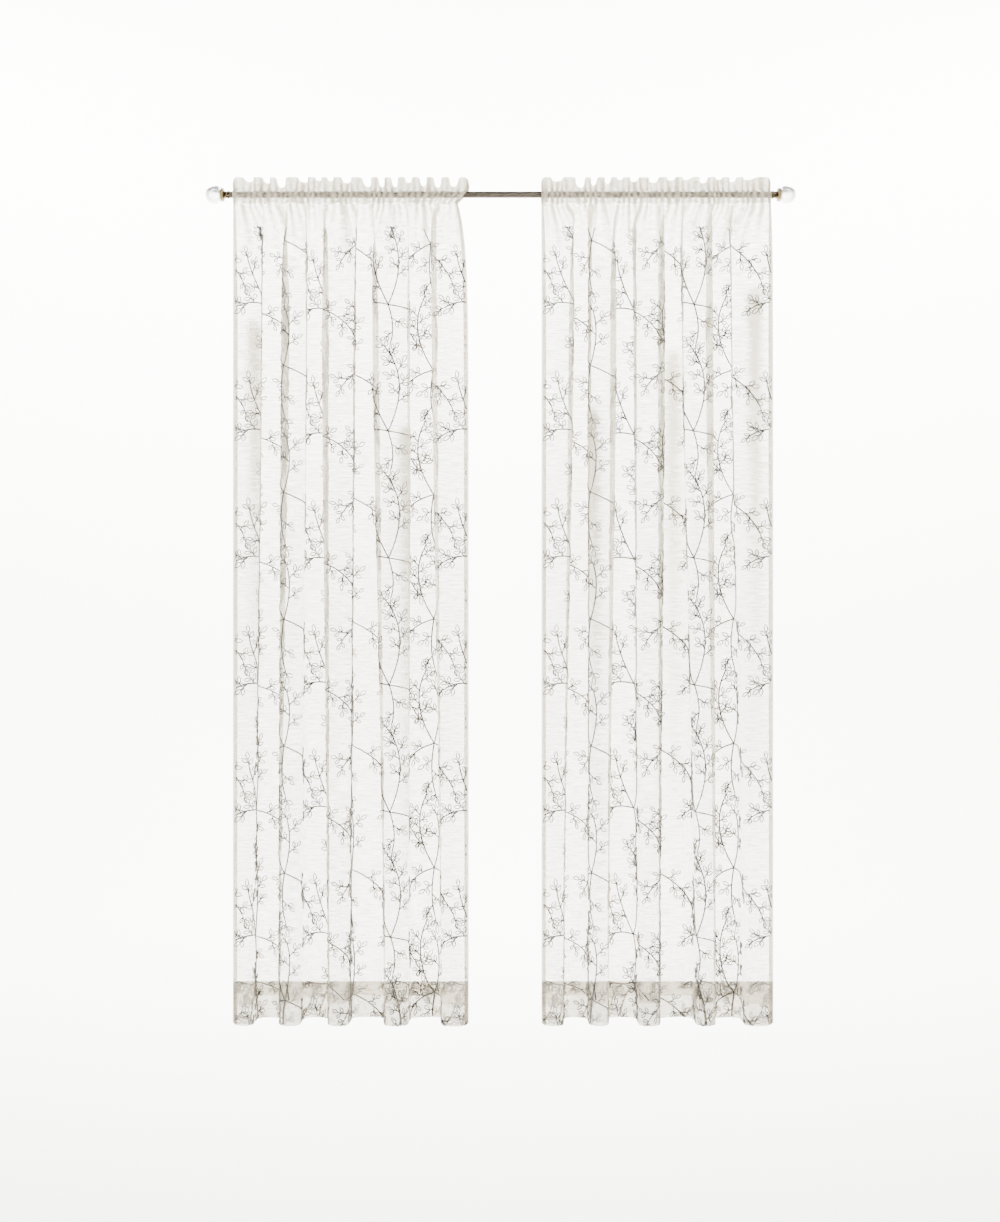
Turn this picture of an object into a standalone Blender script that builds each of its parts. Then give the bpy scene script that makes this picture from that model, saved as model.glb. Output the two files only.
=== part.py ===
"""A pair of sheer rod-pocket curtain panels gathered on one rod with glass ball finials.

Metres, +Z up. The origin is on the rod's axis, midway between the finials. The rod runs along X,
the front of the curtain faces -Y and the cloth hangs down towards -Z.
"""

import math
from collections import namedtuple

import bmesh
import bpy
import numpy as np
from mathutils import Matrix

# The rod and its finials
ROD_RADIUS = 0.008
ROD_WALL = 0.001
ROD_LENGTH = 1.372
ROD_SIDES = 24
FIT_GAP = 0.0003
SPIGOT_LENGTH = 0.018
NECK_RADIUS = 0.0085
NECK_LENGTH = 0.013
RING_RADIUS = 0.0100
RING_LENGTH = 0.004
FLANGE_RADIUS = 0.0172
FLANGE_LENGTH = 0.008
FLANGE_LIP = 0.0015
BALL_RADIUS = 0.0227
BALL_SEAT_RADIUS = 0.0157
BALL_POLE_ANGLE = math.radians(8)
TURNED_SIDES = 18
BALL_RINGS = 9
METAL_CREASE_ANGLE = math.radians(35)

# The cloth of one panel, from the sewing lines that gather it on the rod
CLOTH_THICKNESS = 0.0015
HEADING_THICKNESS = 0.0024
UPPER_SEAM_Z = 0.0113
LOWER_SEAM_Z = -0.022
HEADING_HEIGHT = 0.031
HEM_Z = -2.092

# The gathers that the rod pocket makes: each loops forward between two backward loops
COLUMN_WIDTH = 0.0069
FEWEST_COLUMNS = 4
SEAM_SWING = 0.008
TOP_SEAM_SWING = 0.002
POCKET_BULGE = 0.005
LEAN_FORWARD = math.radians(-12)
EDGE_LEAN = math.radians(15)
LOOP_WIDENING = 0.07
END_LOOP_POWER = 4
GATHER_FADE = 0.095
EDGE_PHASE = 0.25
CLOTH_CREASE_ANGLE = math.radians(75)

# The deep folds that the gathers fall into
FOLD_GROWTH = 0.105
FOLD_LEAN = 0.016
FOLD_ROUNDING = 0.030
PATH_SAMPLES = 900
DEPTH_AT_TOP = 0.90

# How far below the lower seam each row of the body lies
BODY_DROPS = (0.0, 0.018, 0.048, 0.092, 0.155, 0.245, 0.390, 0.720, 1.300)

# The pocket seen from its end: height, and how far the cloth stands from the rod's axis
PocketRow = namedtuple("PocketRow", "height reach bulge_share")
POCKET_ROWS = (
    PocketRow(height=-0.0100, reach=0.0074, bulge_share=0.8),
    PocketRow(height=0.0000, reach=0.0089, bulge_share=1.0),
    PocketRow(height=0.0066, reach=0.0066, bulge_share=0.7),
)
TUNNEL_FLOOR_Z = -0.0185
TUNNEL_ROOF_Z = 0.0096

# Heights up the standing ruffle, as shares of its own height
HEADING_SHARES = (0.0, 0.5, 1.0)

# A gather ends in a backward loop: where that is on the rod, from the panel's left edge, and how
# many degrees the standing ruffle leans back there
Gather = namedtuple("Gather", "end lean")
# A turn is where the cloth goes from a front fold to a back fold: its place under the gathers and
# at the hem, from the panel's left edge, and how deep the fold is there
Turn = namedtuple("Turn", "top foot depth")
Panel = namedtuple("Panel", "name rod_left rod_right hem_left hem_right gathers turns")
PANELS = (
    Panel(
        name="panel_left",
        rod_left=-0.677,
        rod_right=-0.108,
        hem_left=-0.670,
        hem_right=-0.080,
        gathers=(
            Gather(end=0.040, lean=34),
            Gather(end=0.086, lean=42),
            Gather(end=0.116, lean=62),
            Gather(end=0.180, lean=36),
            Gather(end=0.217, lean=26),
            Gather(end=0.243, lean=28),
            Gather(end=0.283, lean=40),
            Gather(end=0.337, lean=58),
            Gather(end=0.370, lean=60),
            Gather(end=0.401, lean=60),
            Gather(end=0.434, lean=38),
            Gather(end=0.468, lean=56),
            Gather(end=0.500, lean=62),
            Gather(end=0.535, lean=58),
            Gather(end=0.569, lean=15),
        ),
        turns=(
            Turn(top=0.066, foot=0.049, depth=0.078),
            Turn(top=0.125, foot=0.111, depth=0.074),
            Turn(top=0.180, foot=0.167, depth=0.082),
            Turn(top=0.226, foot=0.234, depth=0.076),
            Turn(top=0.302, foot=0.290, depth=0.084),
            Turn(top=0.352, foot=0.376, depth=0.080),
            Turn(top=0.437, foot=0.439, depth=0.076),
            Turn(top=0.501, foot=0.520, depth=0.084),
        ),
    ),
    Panel(
        name="panel_right",
        rod_left=0.1026,
        rod_right=0.6840,
        hem_left=0.1023,
        hem_right=0.6823,
        gathers=(
            Gather(end=0.039, lean=30),
            Gather(end=0.104, lean=62),
            Gather(end=0.133, lean=52),
            Gather(end=0.170, lean=44),
            Gather(end=0.199, lean=20),
            Gather(end=0.234, lean=32),
            Gather(end=0.286, lean=38),
            Gather(end=0.330, lean=24),
            Gather(end=0.367, lean=20),
            Gather(end=0.413, lean=40),
            Gather(end=0.450, lean=18),
            Gather(end=0.486, lean=34),
            Gather(end=0.521, lean=20),
            Gather(end=0.5814, lean=15),
        ),
        turns=(
            Turn(top=0.078, foot=0.057, depth=0.080),
            Turn(top=0.123, foot=0.119, depth=0.076),
            Turn(top=0.184, foot=0.170, depth=0.080),
            Turn(top=0.236, foot=0.244, depth=0.084),
            Turn(top=0.305, foot=0.300, depth=0.078),
            Turn(top=0.356, foot=0.389, depth=0.084),
            Turn(top=0.425, foot=0.440, depth=0.074),
            Turn(top=0.480, foot=0.509, depth=0.078),
        ),
    ),
)

# Colour, roughness and metallic value of each material
Finish = namedtuple("Finish", "colour roughness metallic")
FINISHES = {
    "voile": Finish(colour=(0.86, 0.85, 0.81), roughness=0.85, metallic=0.0),
    "satin_nickel": Finish(colour=(0.56, 0.52, 0.47), roughness=0.30, metallic=1.0),
    "antique_bronze": Finish(colour=(0.22, 0.16, 0.09), roughness=0.28, metallic=1.0),
    "clear_glass": Finish(colour=(0.90, 0.90, 0.89), roughness=0.05, metallic=0.0),
}

# One row of values for each column of points across a panel: share of the cloth to its left,
# wave (-1 where the gather loops forward, +1 back), its turn within the gather and its ruffle lean
Columns = namedtuple("Columns", "share wave phase width lean")


def clear_scene():
    for obj in list(bpy.data.objects):
        bpy.data.objects.remove(obj)


def make_material(name):
    finish = FINISHES[name]
    material = bpy.data.materials.new(name)
    material.use_nodes = True
    shader = material.node_tree.nodes["Principled BSDF"]
    shader.inputs["Base Color"].default_value = (*finish.colour, 1.0)
    shader.inputs["Roughness"].default_value = finish.roughness
    shader.inputs["Metallic"].default_value = finish.metallic
    return material


def add_object(name, bm, material, crease_angle):
    """Turns the bmesh into one named object with one material, shaded round."""
    mesh = bpy.data.meshes.new(name)
    bm.to_mesh(mesh)
    bm.free()
    mesh.materials.append(material)
    mesh.shade_smooth()
    mesh.set_sharp_from_angle(angle=crease_angle)
    obj = bpy.data.objects.new(name, mesh)
    bpy.context.scene.collection.objects.link(obj)


def turned(profile, sides, closed):
    """A solid turned about the X axis from (x, radius) points: a tube if closed, else a bar."""
    bm = bmesh.new()
    points = [bm.verts.new((x, 0.0, radius)) for x, radius in profile]
    pairs = list(zip(points, points[1:]))
    if closed:
        pairs.append((points[-1], points[0]))
    edges = [bm.edges.new(pair) for pair in pairs]
    bmesh.ops.spin(
        bm,
        geom=points + edges,
        cent=(0.0, 0.0, 0.0),
        axis=(1.0, 0.0, 0.0),
        angle=2 * math.pi,
        steps=sides,
        use_merge=True,
    )
    bmesh.ops.holes_fill(bm, edges=[edge for edge in bm.edges if edge.is_boundary])
    bmesh.ops.recalc_face_normals(bm, faces=bm.faces)
    return bm


def make_rod(material):
    """A drawn metal tube, open at both ends for the finials' spigots."""
    half = ROD_LENGTH / 2
    inner = ROD_RADIUS - ROD_WALL
    profile = [(-half, inner), (half, inner), (half, ROD_RADIUS), (-half, ROD_RADIUS)]
    add_object("rod", turned(profile, ROD_SIDES, closed=True), material, METAL_CREASE_ANGLE)


def collar_profile():
    """From the spigot inside the rod, out past a ring and the neck, to the flange."""
    spigot = ROD_RADIUS - ROD_WALL - FIT_GAP
    start = ROD_LENGTH / 2 + FIT_GAP
    neck_end = start + NECK_LENGTH
    flange_end = neck_end + FLANGE_LENGTH
    return [
        (start - SPIGOT_LENGTH, spigot),
        (start, spigot),
        (start, RING_RADIUS),
        (start + RING_LENGTH, RING_RADIUS),
        (start + RING_LENGTH, NECK_RADIUS),
        (neck_end, NECK_RADIUS),
        (neck_end + FLANGE_LIP, FLANGE_RADIUS),
        (flange_end - FLANGE_LIP, FLANGE_RADIUS),
        (flange_end, FLANGE_RADIUS - FLANGE_LIP),
    ]


def ball_profile():
    """A glass ball with a flat seat, from the seat's edge round to the pole's small flat."""
    seat_angle = math.asin(BALL_SEAT_RADIUS / BALL_RADIUS)
    seat_x = collar_profile()[-1][0] + FIT_GAP
    centre = seat_x + BALL_RADIUS * math.cos(seat_angle)
    points = []
    for angle in np.linspace(seat_angle, math.pi - BALL_POLE_ANGLE, BALL_RINGS + 1):
        points.append((centre - BALL_RADIUS * math.cos(angle), BALL_RADIUS * math.sin(angle)))
    return points


def make_finials(metal, glass):
    """The same collar and ball at each end of the rod; the left one is turned half round."""
    for side, turn in (("left", math.pi), ("right", 0.0)):
        for name, profile, material in (
            ("finial_collar", collar_profile(), metal),
            ("finial_ball", ball_profile(), glass),
        ):
            bm = turned(profile, TURNED_SIDES, closed=False)
            bmesh.ops.rotate(bm, matrix=Matrix.Rotation(turn, 3, "Z"), verts=bm.verts)
            add_object(f"{name}_{side}", bm, material, METAL_CREASE_ANGLE)


def gather_columns(panel):
    """The columns of points across a panel: a few to each gather, more in a wide one."""
    starts = [0.0] + [gather.end for gather in panel.gathers[:-1]]
    leans = [EDGE_LEAN] + [math.radians(gather.lean) for gather in panel.gathers]
    last = len(panel.gathers) - 1
    rows = []
    for i, (start, gather) in enumerate(zip(starts, panel.gathers)):
        width = gather.end - start
        count = max(round(width / COLUMN_WIDTH), FEWEST_COLUMNS)
        first_phase = EDGE_PHASE if i == 0 else 0.0
        last_phase = 1.0 - EDGE_PHASE if i == last else 1.0
        for step in range(count + (i == last)):
            phase = first_phase + (last_phase - first_phase) * step / count
            back = (1 + math.cos(2 * math.pi * phase)) / 2
            lean_back = leans[i] if phase < 0.5 else leans[i + 1]
            lean = LEAN_FORWARD + back * (lean_back - LEAN_FORWARD)
            rows.append((start + width * step / count, 2 * back - 1, phase, width, lean))
    place, wave, phase, width, lean = np.array(rows).T
    return Columns(share=place / place[-1], wave=wave, phase=phase, width=width, lean=lean)


def fold_corners(panel, drop):
    """The panel's deep folds seen from above at one height, as sharp corners (x, y)."""
    share = min(drop / (LOWER_SEAM_Z - HEM_Z), 1.0)
    share = share * share * (3 - 2 * share)
    grown = 1 - math.exp(-drop / FOLD_GROWTH)
    left = panel.rod_left + (panel.hem_left - panel.rod_left) * grown
    right = panel.rod_right + (panel.hem_right - panel.rod_right) * grown
    overhang = FOLD_LEAN * grown / 2
    corners = [(left, -panel.turns[0].depth * grown / 2)]
    facing = -1
    for turn in panel.turns:
        x = panel.hem_left + turn.top + (turn.foot - turn.top) * share
        y = turn.depth * grown / 2 * (DEPTH_AT_TOP + (1 - DEPTH_AT_TOP) * share)
        corners.append((x + overhang, facing * y))
        corners.append((x - overhang, -facing * y))
        facing = -facing
    corners.append((right, facing * panel.turns[-1].depth * grown / 2))
    return np.array(corners)


def evenly_along(points):
    """The line through these points at even steps of its own length, and that length."""
    steps = np.linalg.norm(np.diff(points, axis=0), axis=1)
    along = np.concatenate([[0.0], np.cumsum(steps)])
    at = np.linspace(0.0, along[-1], PATH_SAMPLES)
    return np.stack([np.interp(at, along, points[:, k]) for k in range(2)], axis=1), along[-1]


def rounded(points, length):
    """Rounds the corners of an evenly sampled line by averaging over the rounding length."""
    reach = max(int(FOLD_ROUNDING / length * len(points) / 2), 1)
    kernel = np.hanning(2 * reach + 3)[1:-1]
    kernel /= kernel.sum()
    before = 2 * points[0] - points[reach:0:-1]
    after = 2 * points[-1] - points[-2 : -reach - 2 : -1]
    padded = np.concatenate([before, points, after])
    return np.stack([np.convolve(padded[:, k], kernel, "valid") for k in range(2)], axis=1)


def towards_front(line):
    """Unit vectors square to a line in plan, pointing to the front of the cloth."""
    along = np.gradient(line, axis=0)
    along /= np.linalg.norm(along, axis=1)[:, None]
    return np.stack([along[:, 1], -along[:, 0]], axis=1)


def body_line(panel, drop, columns):
    """The middle of the cloth at one height below the lower seam, one (x, y) a column."""
    line, length = evenly_along(fold_corners(panel, drop))
    line, _ = evenly_along(rounded(line, length))
    front = towards_front(line)
    at = columns.share * (PATH_SAMPLES - 1)
    samples = np.arange(PATH_SAMPLES)
    x, y, front_x, front_y = (
        np.interp(at, samples, values) for values in (*line.T, *front.T)
    )
    swing = -SEAM_SWING * math.exp(-drop / GATHER_FADE) * columns.wave
    return np.stack([x + swing * front_x, y + swing * front_y], axis=1)


def two_faces(line, heights, thickness):
    """Front and back points (x, y, z) of a sheet whose middle follows the line."""
    offset = towards_front(line) * thickness / 2
    heights = np.broadcast_to(heights, len(line))
    front = np.column_stack([line + offset, heights])
    back = np.column_stack([line - offset, heights])
    return front, back


def heading_line(panel, share, columns):
    """The standing ruffle at a share of its height: plan line and heights."""
    seam = body_line(panel, 0.0, columns)
    widening = LOOP_WIDENING * columns.width * share * np.sin(4 * np.pi * columns.phase)
    spread = (panel.hem_right - panel.rod_right) * share * columns.share**END_LOOP_POWER
    x = seam[:, 0] + widening + spread
    y = TOP_SEAM_SWING * columns.wave + HEADING_HEIGHT * share * np.sin(columns.lean)
    z = UPPER_SEAM_Z + HEADING_HEIGHT * share * np.cos(columns.lean)
    return np.stack([x, y], axis=1), z


def pocket_rows(panel, columns, facing):
    """Inner and outer rows of the pocket's wall on one side of the rod, bottom to top."""
    x = body_line(panel, 0.0, columns)[:, 0]
    bulge = POCKET_BULGE * (1 + facing * columns.wave) / 2
    inner = []
    outer = []
    for row in POCKET_ROWS:
        reach = row.reach + bulge * row.bulge_share
        lift = CLOTH_THICKNESS / 2 if row.height > 0 else 0.0
        inner.append(np.column_stack([x, facing * reach, np.full_like(x, row.height)]))
        outer_reach = facing * (reach + CLOTH_THICKNESS)
        outer.append(np.column_stack([x, outer_reach, np.full_like(x, row.height + lift)]))
    return inner, outer


def face_rows(panel, columns):
    """Rows of points up the front and up the back of the panel, from hem to heading."""
    front_rows = []
    back_rows = []
    for drop in (LOWER_SEAM_Z - HEM_Z, *reversed(BODY_DROPS)):
        line = body_line(panel, drop, columns)
        front, back = two_faces(line, LOWER_SEAM_Z - drop, CLOTH_THICKNESS)
        front_rows.append(front)
        back_rows.append(back)
    front_rows += pocket_rows(panel, columns, -1)[1]
    back_rows += pocket_rows(panel, columns, 1)[1]
    for share in HEADING_SHARES:
        line, heights = heading_line(panel, share, columns)
        front, back = two_faces(line, heights, HEADING_THICKNESS)
        front_rows.append(front)
        back_rows.append(back)
    return front_rows, back_rows


def tunnel_rows(panel, columns):
    """Rows of points inside the pocket: its floor, its front wall, its roof, its back wall."""
    seam = body_line(panel, 0.0, columns)
    floor = np.column_stack([seam, np.full(len(seam), TUNNEL_FLOOR_Z)])
    roof_y = TOP_SEAM_SWING * columns.wave
    roof = np.column_stack([seam[:, 0], roof_y, np.full(len(seam), TUNNEL_ROOF_Z)])
    front = pocket_rows(panel, columns, -1)[0]
    back = pocket_rows(panel, columns, 1)[0]
    return floor, front, roof, back


def diagonals(rows):
    """For each patch between two rows, whether its shorter diagonal rises to the right."""
    points = np.array([[vert.co for vert in row] for row in rows])
    rising = np.linalg.norm(points[1:, 1:] - points[:-1, :-1], axis=2)
    falling = np.linalg.norm(points[1:, :-1] - points[:-1, 1:], axis=2)
    return rising <= falling


def add_skin(bm, rows, rising):
    """Two triangles for each patch, split the same way on both faces of the cloth."""
    for lower, upper, choices in zip(rows, rows[1:], rising):
        for i, rises in enumerate(choices):
            patch = (lower[i], lower[i + 1], upper[i + 1], upper[i])
            first = 0 if rises else 1
            bm.faces.new((patch[first], patch[first + 1], patch[first + 2]))
            bm.faces.new((patch[first], patch[first + 2], patch[(first + 3) % 4]))


def close_side(bm, front, back, tunnel_front, tunnel_back, column):
    """Closes one side edge of the panel, leaving the pocket's mouth open for the rod."""
    seam = len(BODY_DROPS)
    pocket_top = seam + len(tunnel_front) - 1
    flat = [*range(seam), *range(pocket_top, len(front) - 1)]
    for k in flat:
        bm.faces.new([row[column] for row in (front[k], front[k + 1], back[k + 1], back[k])])
    for outer, inner in ((front, tunnel_front), (back, tunnel_back)):
        for k in range(len(inner) - 1):
            corners = (outer[seam + k], outer[seam + k + 1], inner[k + 1], inner[k])
            bm.faces.new([row[column] for row in corners])
    for k, inner in ((seam, tunnel_front[0]), (pocket_top, tunnel_front[-1])):
        bm.faces.new([row[column] for row in (front[k], inner, back[k])])


def make_panel(panel, material):
    """One closed solid: the hanging cloth, the pocket round the rod and the heading."""
    bm = bmesh.new()

    def add_rows(rows):
        return [[bm.verts.new(point) for point in row] for row in rows]

    columns = gather_columns(panel)
    front_rows, back_rows = face_rows(panel, columns)
    floor, front_wall, roof, back_wall = tunnel_rows(panel, columns)
    front = add_rows(front_rows)
    back = add_rows(back_rows)
    tunnel_front = add_rows([floor, *front_wall, roof])
    back_wall = add_rows(back_wall)
    tunnel_back = [tunnel_front[0], *back_wall, tunnel_front[-1]]
    rising = diagonals(front)
    pocket = slice(len(BODY_DROPS), len(BODY_DROPS) + len(POCKET_ROWS) + 1)
    for rows, choices in (
        (front, rising),
        (back, rising),
        (tunnel_front, rising[pocket]),
        (tunnel_back, rising[pocket]),
    ):
        add_skin(bm, rows, choices)
    for row in (0, -1):
        add_skin(bm, (front[row], back[row]), diagonals((front[row], back[row])))
    for column in (0, -1):
        close_side(bm, front, back, tunnel_front, tunnel_back, column)
    bmesh.ops.recalc_face_normals(bm, faces=bm.faces)
    add_object(panel.name, bm, material, CLOTH_CREASE_ANGLE)


def main():
    clear_scene()
    materials = {name: make_material(name) for name in FINISHES}
    make_rod(materials["satin_nickel"])
    make_finials(materials["antique_bronze"], materials["clear_glass"])
    for panel in PANELS:
        make_panel(panel, materials["voile"])


main()
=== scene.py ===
"""Looks of a pair of sheer rod-pocket curtain panels on one rod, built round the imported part.

Metres, +Z up, in the part's own frame. The origin is on the rod's axis, midway between the
finials. The rod runs along X, the front of the curtain faces -Y and the cloth hangs towards -Z.
"""

import functools
import math
from collections import namedtuple

import bpy
import numpy as np
from bpy.props import FloatProperty, FloatVectorProperty, PointerProperty
from mathutils import Matrix


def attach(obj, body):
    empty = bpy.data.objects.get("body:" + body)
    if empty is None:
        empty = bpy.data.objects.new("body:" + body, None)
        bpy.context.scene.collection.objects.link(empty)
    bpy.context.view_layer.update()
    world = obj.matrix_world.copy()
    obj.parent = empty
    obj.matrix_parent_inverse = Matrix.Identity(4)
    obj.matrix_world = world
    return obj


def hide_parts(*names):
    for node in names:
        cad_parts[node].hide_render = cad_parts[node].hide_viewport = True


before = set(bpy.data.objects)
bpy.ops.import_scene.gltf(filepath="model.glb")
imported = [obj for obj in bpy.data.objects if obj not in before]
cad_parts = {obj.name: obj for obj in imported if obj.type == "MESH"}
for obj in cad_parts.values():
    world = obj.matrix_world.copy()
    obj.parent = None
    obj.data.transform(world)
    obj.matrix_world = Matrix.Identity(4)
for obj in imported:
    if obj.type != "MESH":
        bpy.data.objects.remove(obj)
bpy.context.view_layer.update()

bl_info = {
    "name": "Sheer curtain pair on a rod",
    "version": (1, 0, 0),
    "blender": (4, 5, 0),
    "location": "3D View > Sidebar > Curtain",
    "description": "Builds embroidered voile panels, their rod and its finials round the packed part",
    "category": "Object",
}

# Less than this is no distance
HAIR = 1e-6

# The rod and its finials, as in the part
ROD_RADIUS = 0.008
ROD_WALL = 0.001
ROD_LENGTH = 1.372
ROD_EDGE = 0.0003
FIT_GAP = 0.0003
TURNED_SIDES = 64
BALL_RADIUS = 0.0227
BALL_SEAT_RADIUS = 0.0157
BALL_RINGS = 40
COLLAR_LENGTH = 0.021

# The collar from its spigot to its flange: distance from the rod's end, and radius
COLLAR_PROFILE = (
    (-0.0180, 0.0000),
    (-0.0180, 0.0062),
    (-0.0175, 0.0067),
    (0.0000, 0.0067),
    (0.0000, 0.0094),
    (0.0006, 0.0100),
    (0.0034, 0.0100),
    (0.0040, 0.0094),
    (0.0042, 0.0084),
    (0.0060, 0.0079),
    (0.0080, 0.0079),
    (0.0088, 0.0086),
    (0.0096, 0.0089),
    (0.0104, 0.0086),
    (0.0110, 0.0080),
    (0.0122, 0.0084),
    (0.0131, 0.0110),
    (0.0138, 0.0152),
    (0.0146, 0.0168),
    (0.0156, 0.01725),
    (0.0170, 0.0171),
    (0.0176, 0.0166),
    (0.0182, 0.0171),
    (0.0196, 0.01725),
    (0.0206, 0.0167),
    (0.0210, 0.0157),
    (0.0210, 0.0000),
)

# The sewing lines that gather the cloth on the rod, as in the part
POCKET_GAP = 0.0006
UPPER_SEAM_Z = 0.0113
LOWER_SEAM_Z = -0.022
HEADING_HEIGHT = 0.031
HEADING_GAP = 0.0020
HEM_Z = -2.092
BODY_DROP = LOWER_SEAM_Z - HEM_Z

# The gathers, as in the part: each loops forward between two backward loops
SEAM_SWING = 0.008
TOP_SEAM_SWING = 0.002
POCKET_BULGE = 0.005
LEAN_FORWARD = math.radians(-12)
EDGE_LEAN = math.radians(15)
LOOP_WIDENING = 0.07
GATHER_FADE = 0.095
EDGE_PHASE = 0.25

# How late the last loop swings out past the end of the lower seam, as a power of the width's share
END_LOOP_POWER = 4
# The ruffle's two top corners are rounded over this share of its width, by this much of an ellipse
END_ROUNDING = 0.022
END_ELLIPSE = 0.88

# The deep folds that the gathers fall into, as in the part, but rounder towards the hem, where
# they lean less over the next
FOLD_GROWTH = 0.105
FOLD_LEAN = 0.016
LEAN_AT_HEM = 0.10
FOLD_ROUNDING = 0.030
ROUNDING_AT_HEM = 0.098
PATH_SAMPLES = 1400
DEPTH_AT_TOP = 0.90

# The pocket seen from its end: height, how far the cloth stands from the rod's axis and how much
# of the gathers' bulge it has there
PocketRow = namedtuple("PocketRow", "height reach bulge_share")
POCKET_ROWS = (
    PocketRow(height=-0.0100, reach=0.0081, bulge_share=0.8),
    PocketRow(height=0.0000, reach=0.0096, bulge_share=1.0),
    PocketRow(height=0.0070, reach=0.0074, bulge_share=0.7),
)
POCKET_STEPS = 4

# Rows of the cloth: where the steps between them change below the lower seam, and their sizes
CLOTH_COLUMNS = 341
TOP_STEP = 0.004
LOWEST_TOP_ROW = 0.42
BODY_STEP = 0.020
HEM_STEP = 0.0085
HEADING_STEPS = 9
FOLD_ANGLES = (30, 90, 150)

# The bottom hem, turned up twice. It is deeper on the front folds than on the back ones, by this
# share of the folds' depth, and its corners are a little round
HEM_HEIGHT = 0.102
HEM_TURN_HEIGHT = 0.055
HEM_LAYER = 0.0007
HEM_TILT = 0.26
HEM_TILT_START = 0.060
HEM_TILT_END = 0.320
CORNER_RISE = 0.010
CORNER_WIDTH = 0.030

# The narrow side hems: distance from the side edge and layer, from the raw edge that is turned
# under to the folded edge
SIDE_LAYER = 0.00025
SideHemColumn = namedtuple("SideHemColumn", "inward from_edge layer")
SIDE_HEM = (
    SideHemColumn(inward=0.0030, from_edge=0.0210, layer=1),
    SideHemColumn(inward=0.0075, from_edge=0.0165, layer=1),
    SideHemColumn(inward=0.0118, from_edge=0.0122, layer=1),
    SideHemColumn(inward=0.0118, from_edge=0.0118, layer=2),
    SideHemColumn(inward=0.0080, from_edge=0.0080, layer=2),
    SideHemColumn(inward=0.0040, from_edge=0.0040, layer=2),
    SideHemColumn(inward=0.0004, from_edge=0.0004, layer=2),
)
CLOTH_UV = "cloth"

# The fine ruching between the gathers: ridges across a panel, how far they stand out over the rod
# and at its seams, how soon they fade below it, and how many ridges the pocket's back is shifted
RUCHES = 38
RUCHE_HEIGHT = 0.0040
RUCHE_AT_SEAM = 0.0022
RUCHE_FADE = 0.045
BACK_RUCHE_SHIFT = 0.4
RIDGE_SHARPNESS = 1.4
# The ridges wander sideways in two slow waves, and their heights change in a third
RidgeWave = namedtuple("RidgeWave", "size waves shift")
RIDGE_WANDERS = (
    RidgeWave(size=1.7, waves=3.1, shift=1.0),
    RidgeWave(size=1.1, waves=7.3, shift=2.3),
)
USUAL_RIDGE = 0.68
RIDGE_HEIGHTS = RidgeWave(size=0.32, waves=5.7, shift=3.1)

# How doubled the cloth is by its pleats: 1 on a full ridge, this share of that at the ruffle's top,
# and less than a single layer where it is drawn thin over the rod. A crease this high counts as 1
PLEATS_AT_TOP = 0.35
TROUGH_PLEAT = -0.46
CREASE_PLEAT = 0.0034
# What a full pleat adds to the share of the surface that the yarns cover
PLEAT_COVER = 0.52

# Creases rise over this length from their top end and fade out towards their foot by this power.
# Those that come out of the pocket's pleats begin above the lower seam
CREASE_RISE = 0.05
CREASE_FADE_POWER = 1.4
POCKET_CREASE_TOP = -0.05

# A gather ends in a backward loop: where that is on the rod, from the panel's left edge, and how
# many degrees the standing ruffle leans back there
Gather = namedtuple("Gather", "end lean")
# A turn is where the cloth goes from a front fold to a back fold: its place under the gathers and
# at the hem, from the panel's left edge, and how deep the fold is there
Turn = namedtuple("Turn", "top foot depth")
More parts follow.
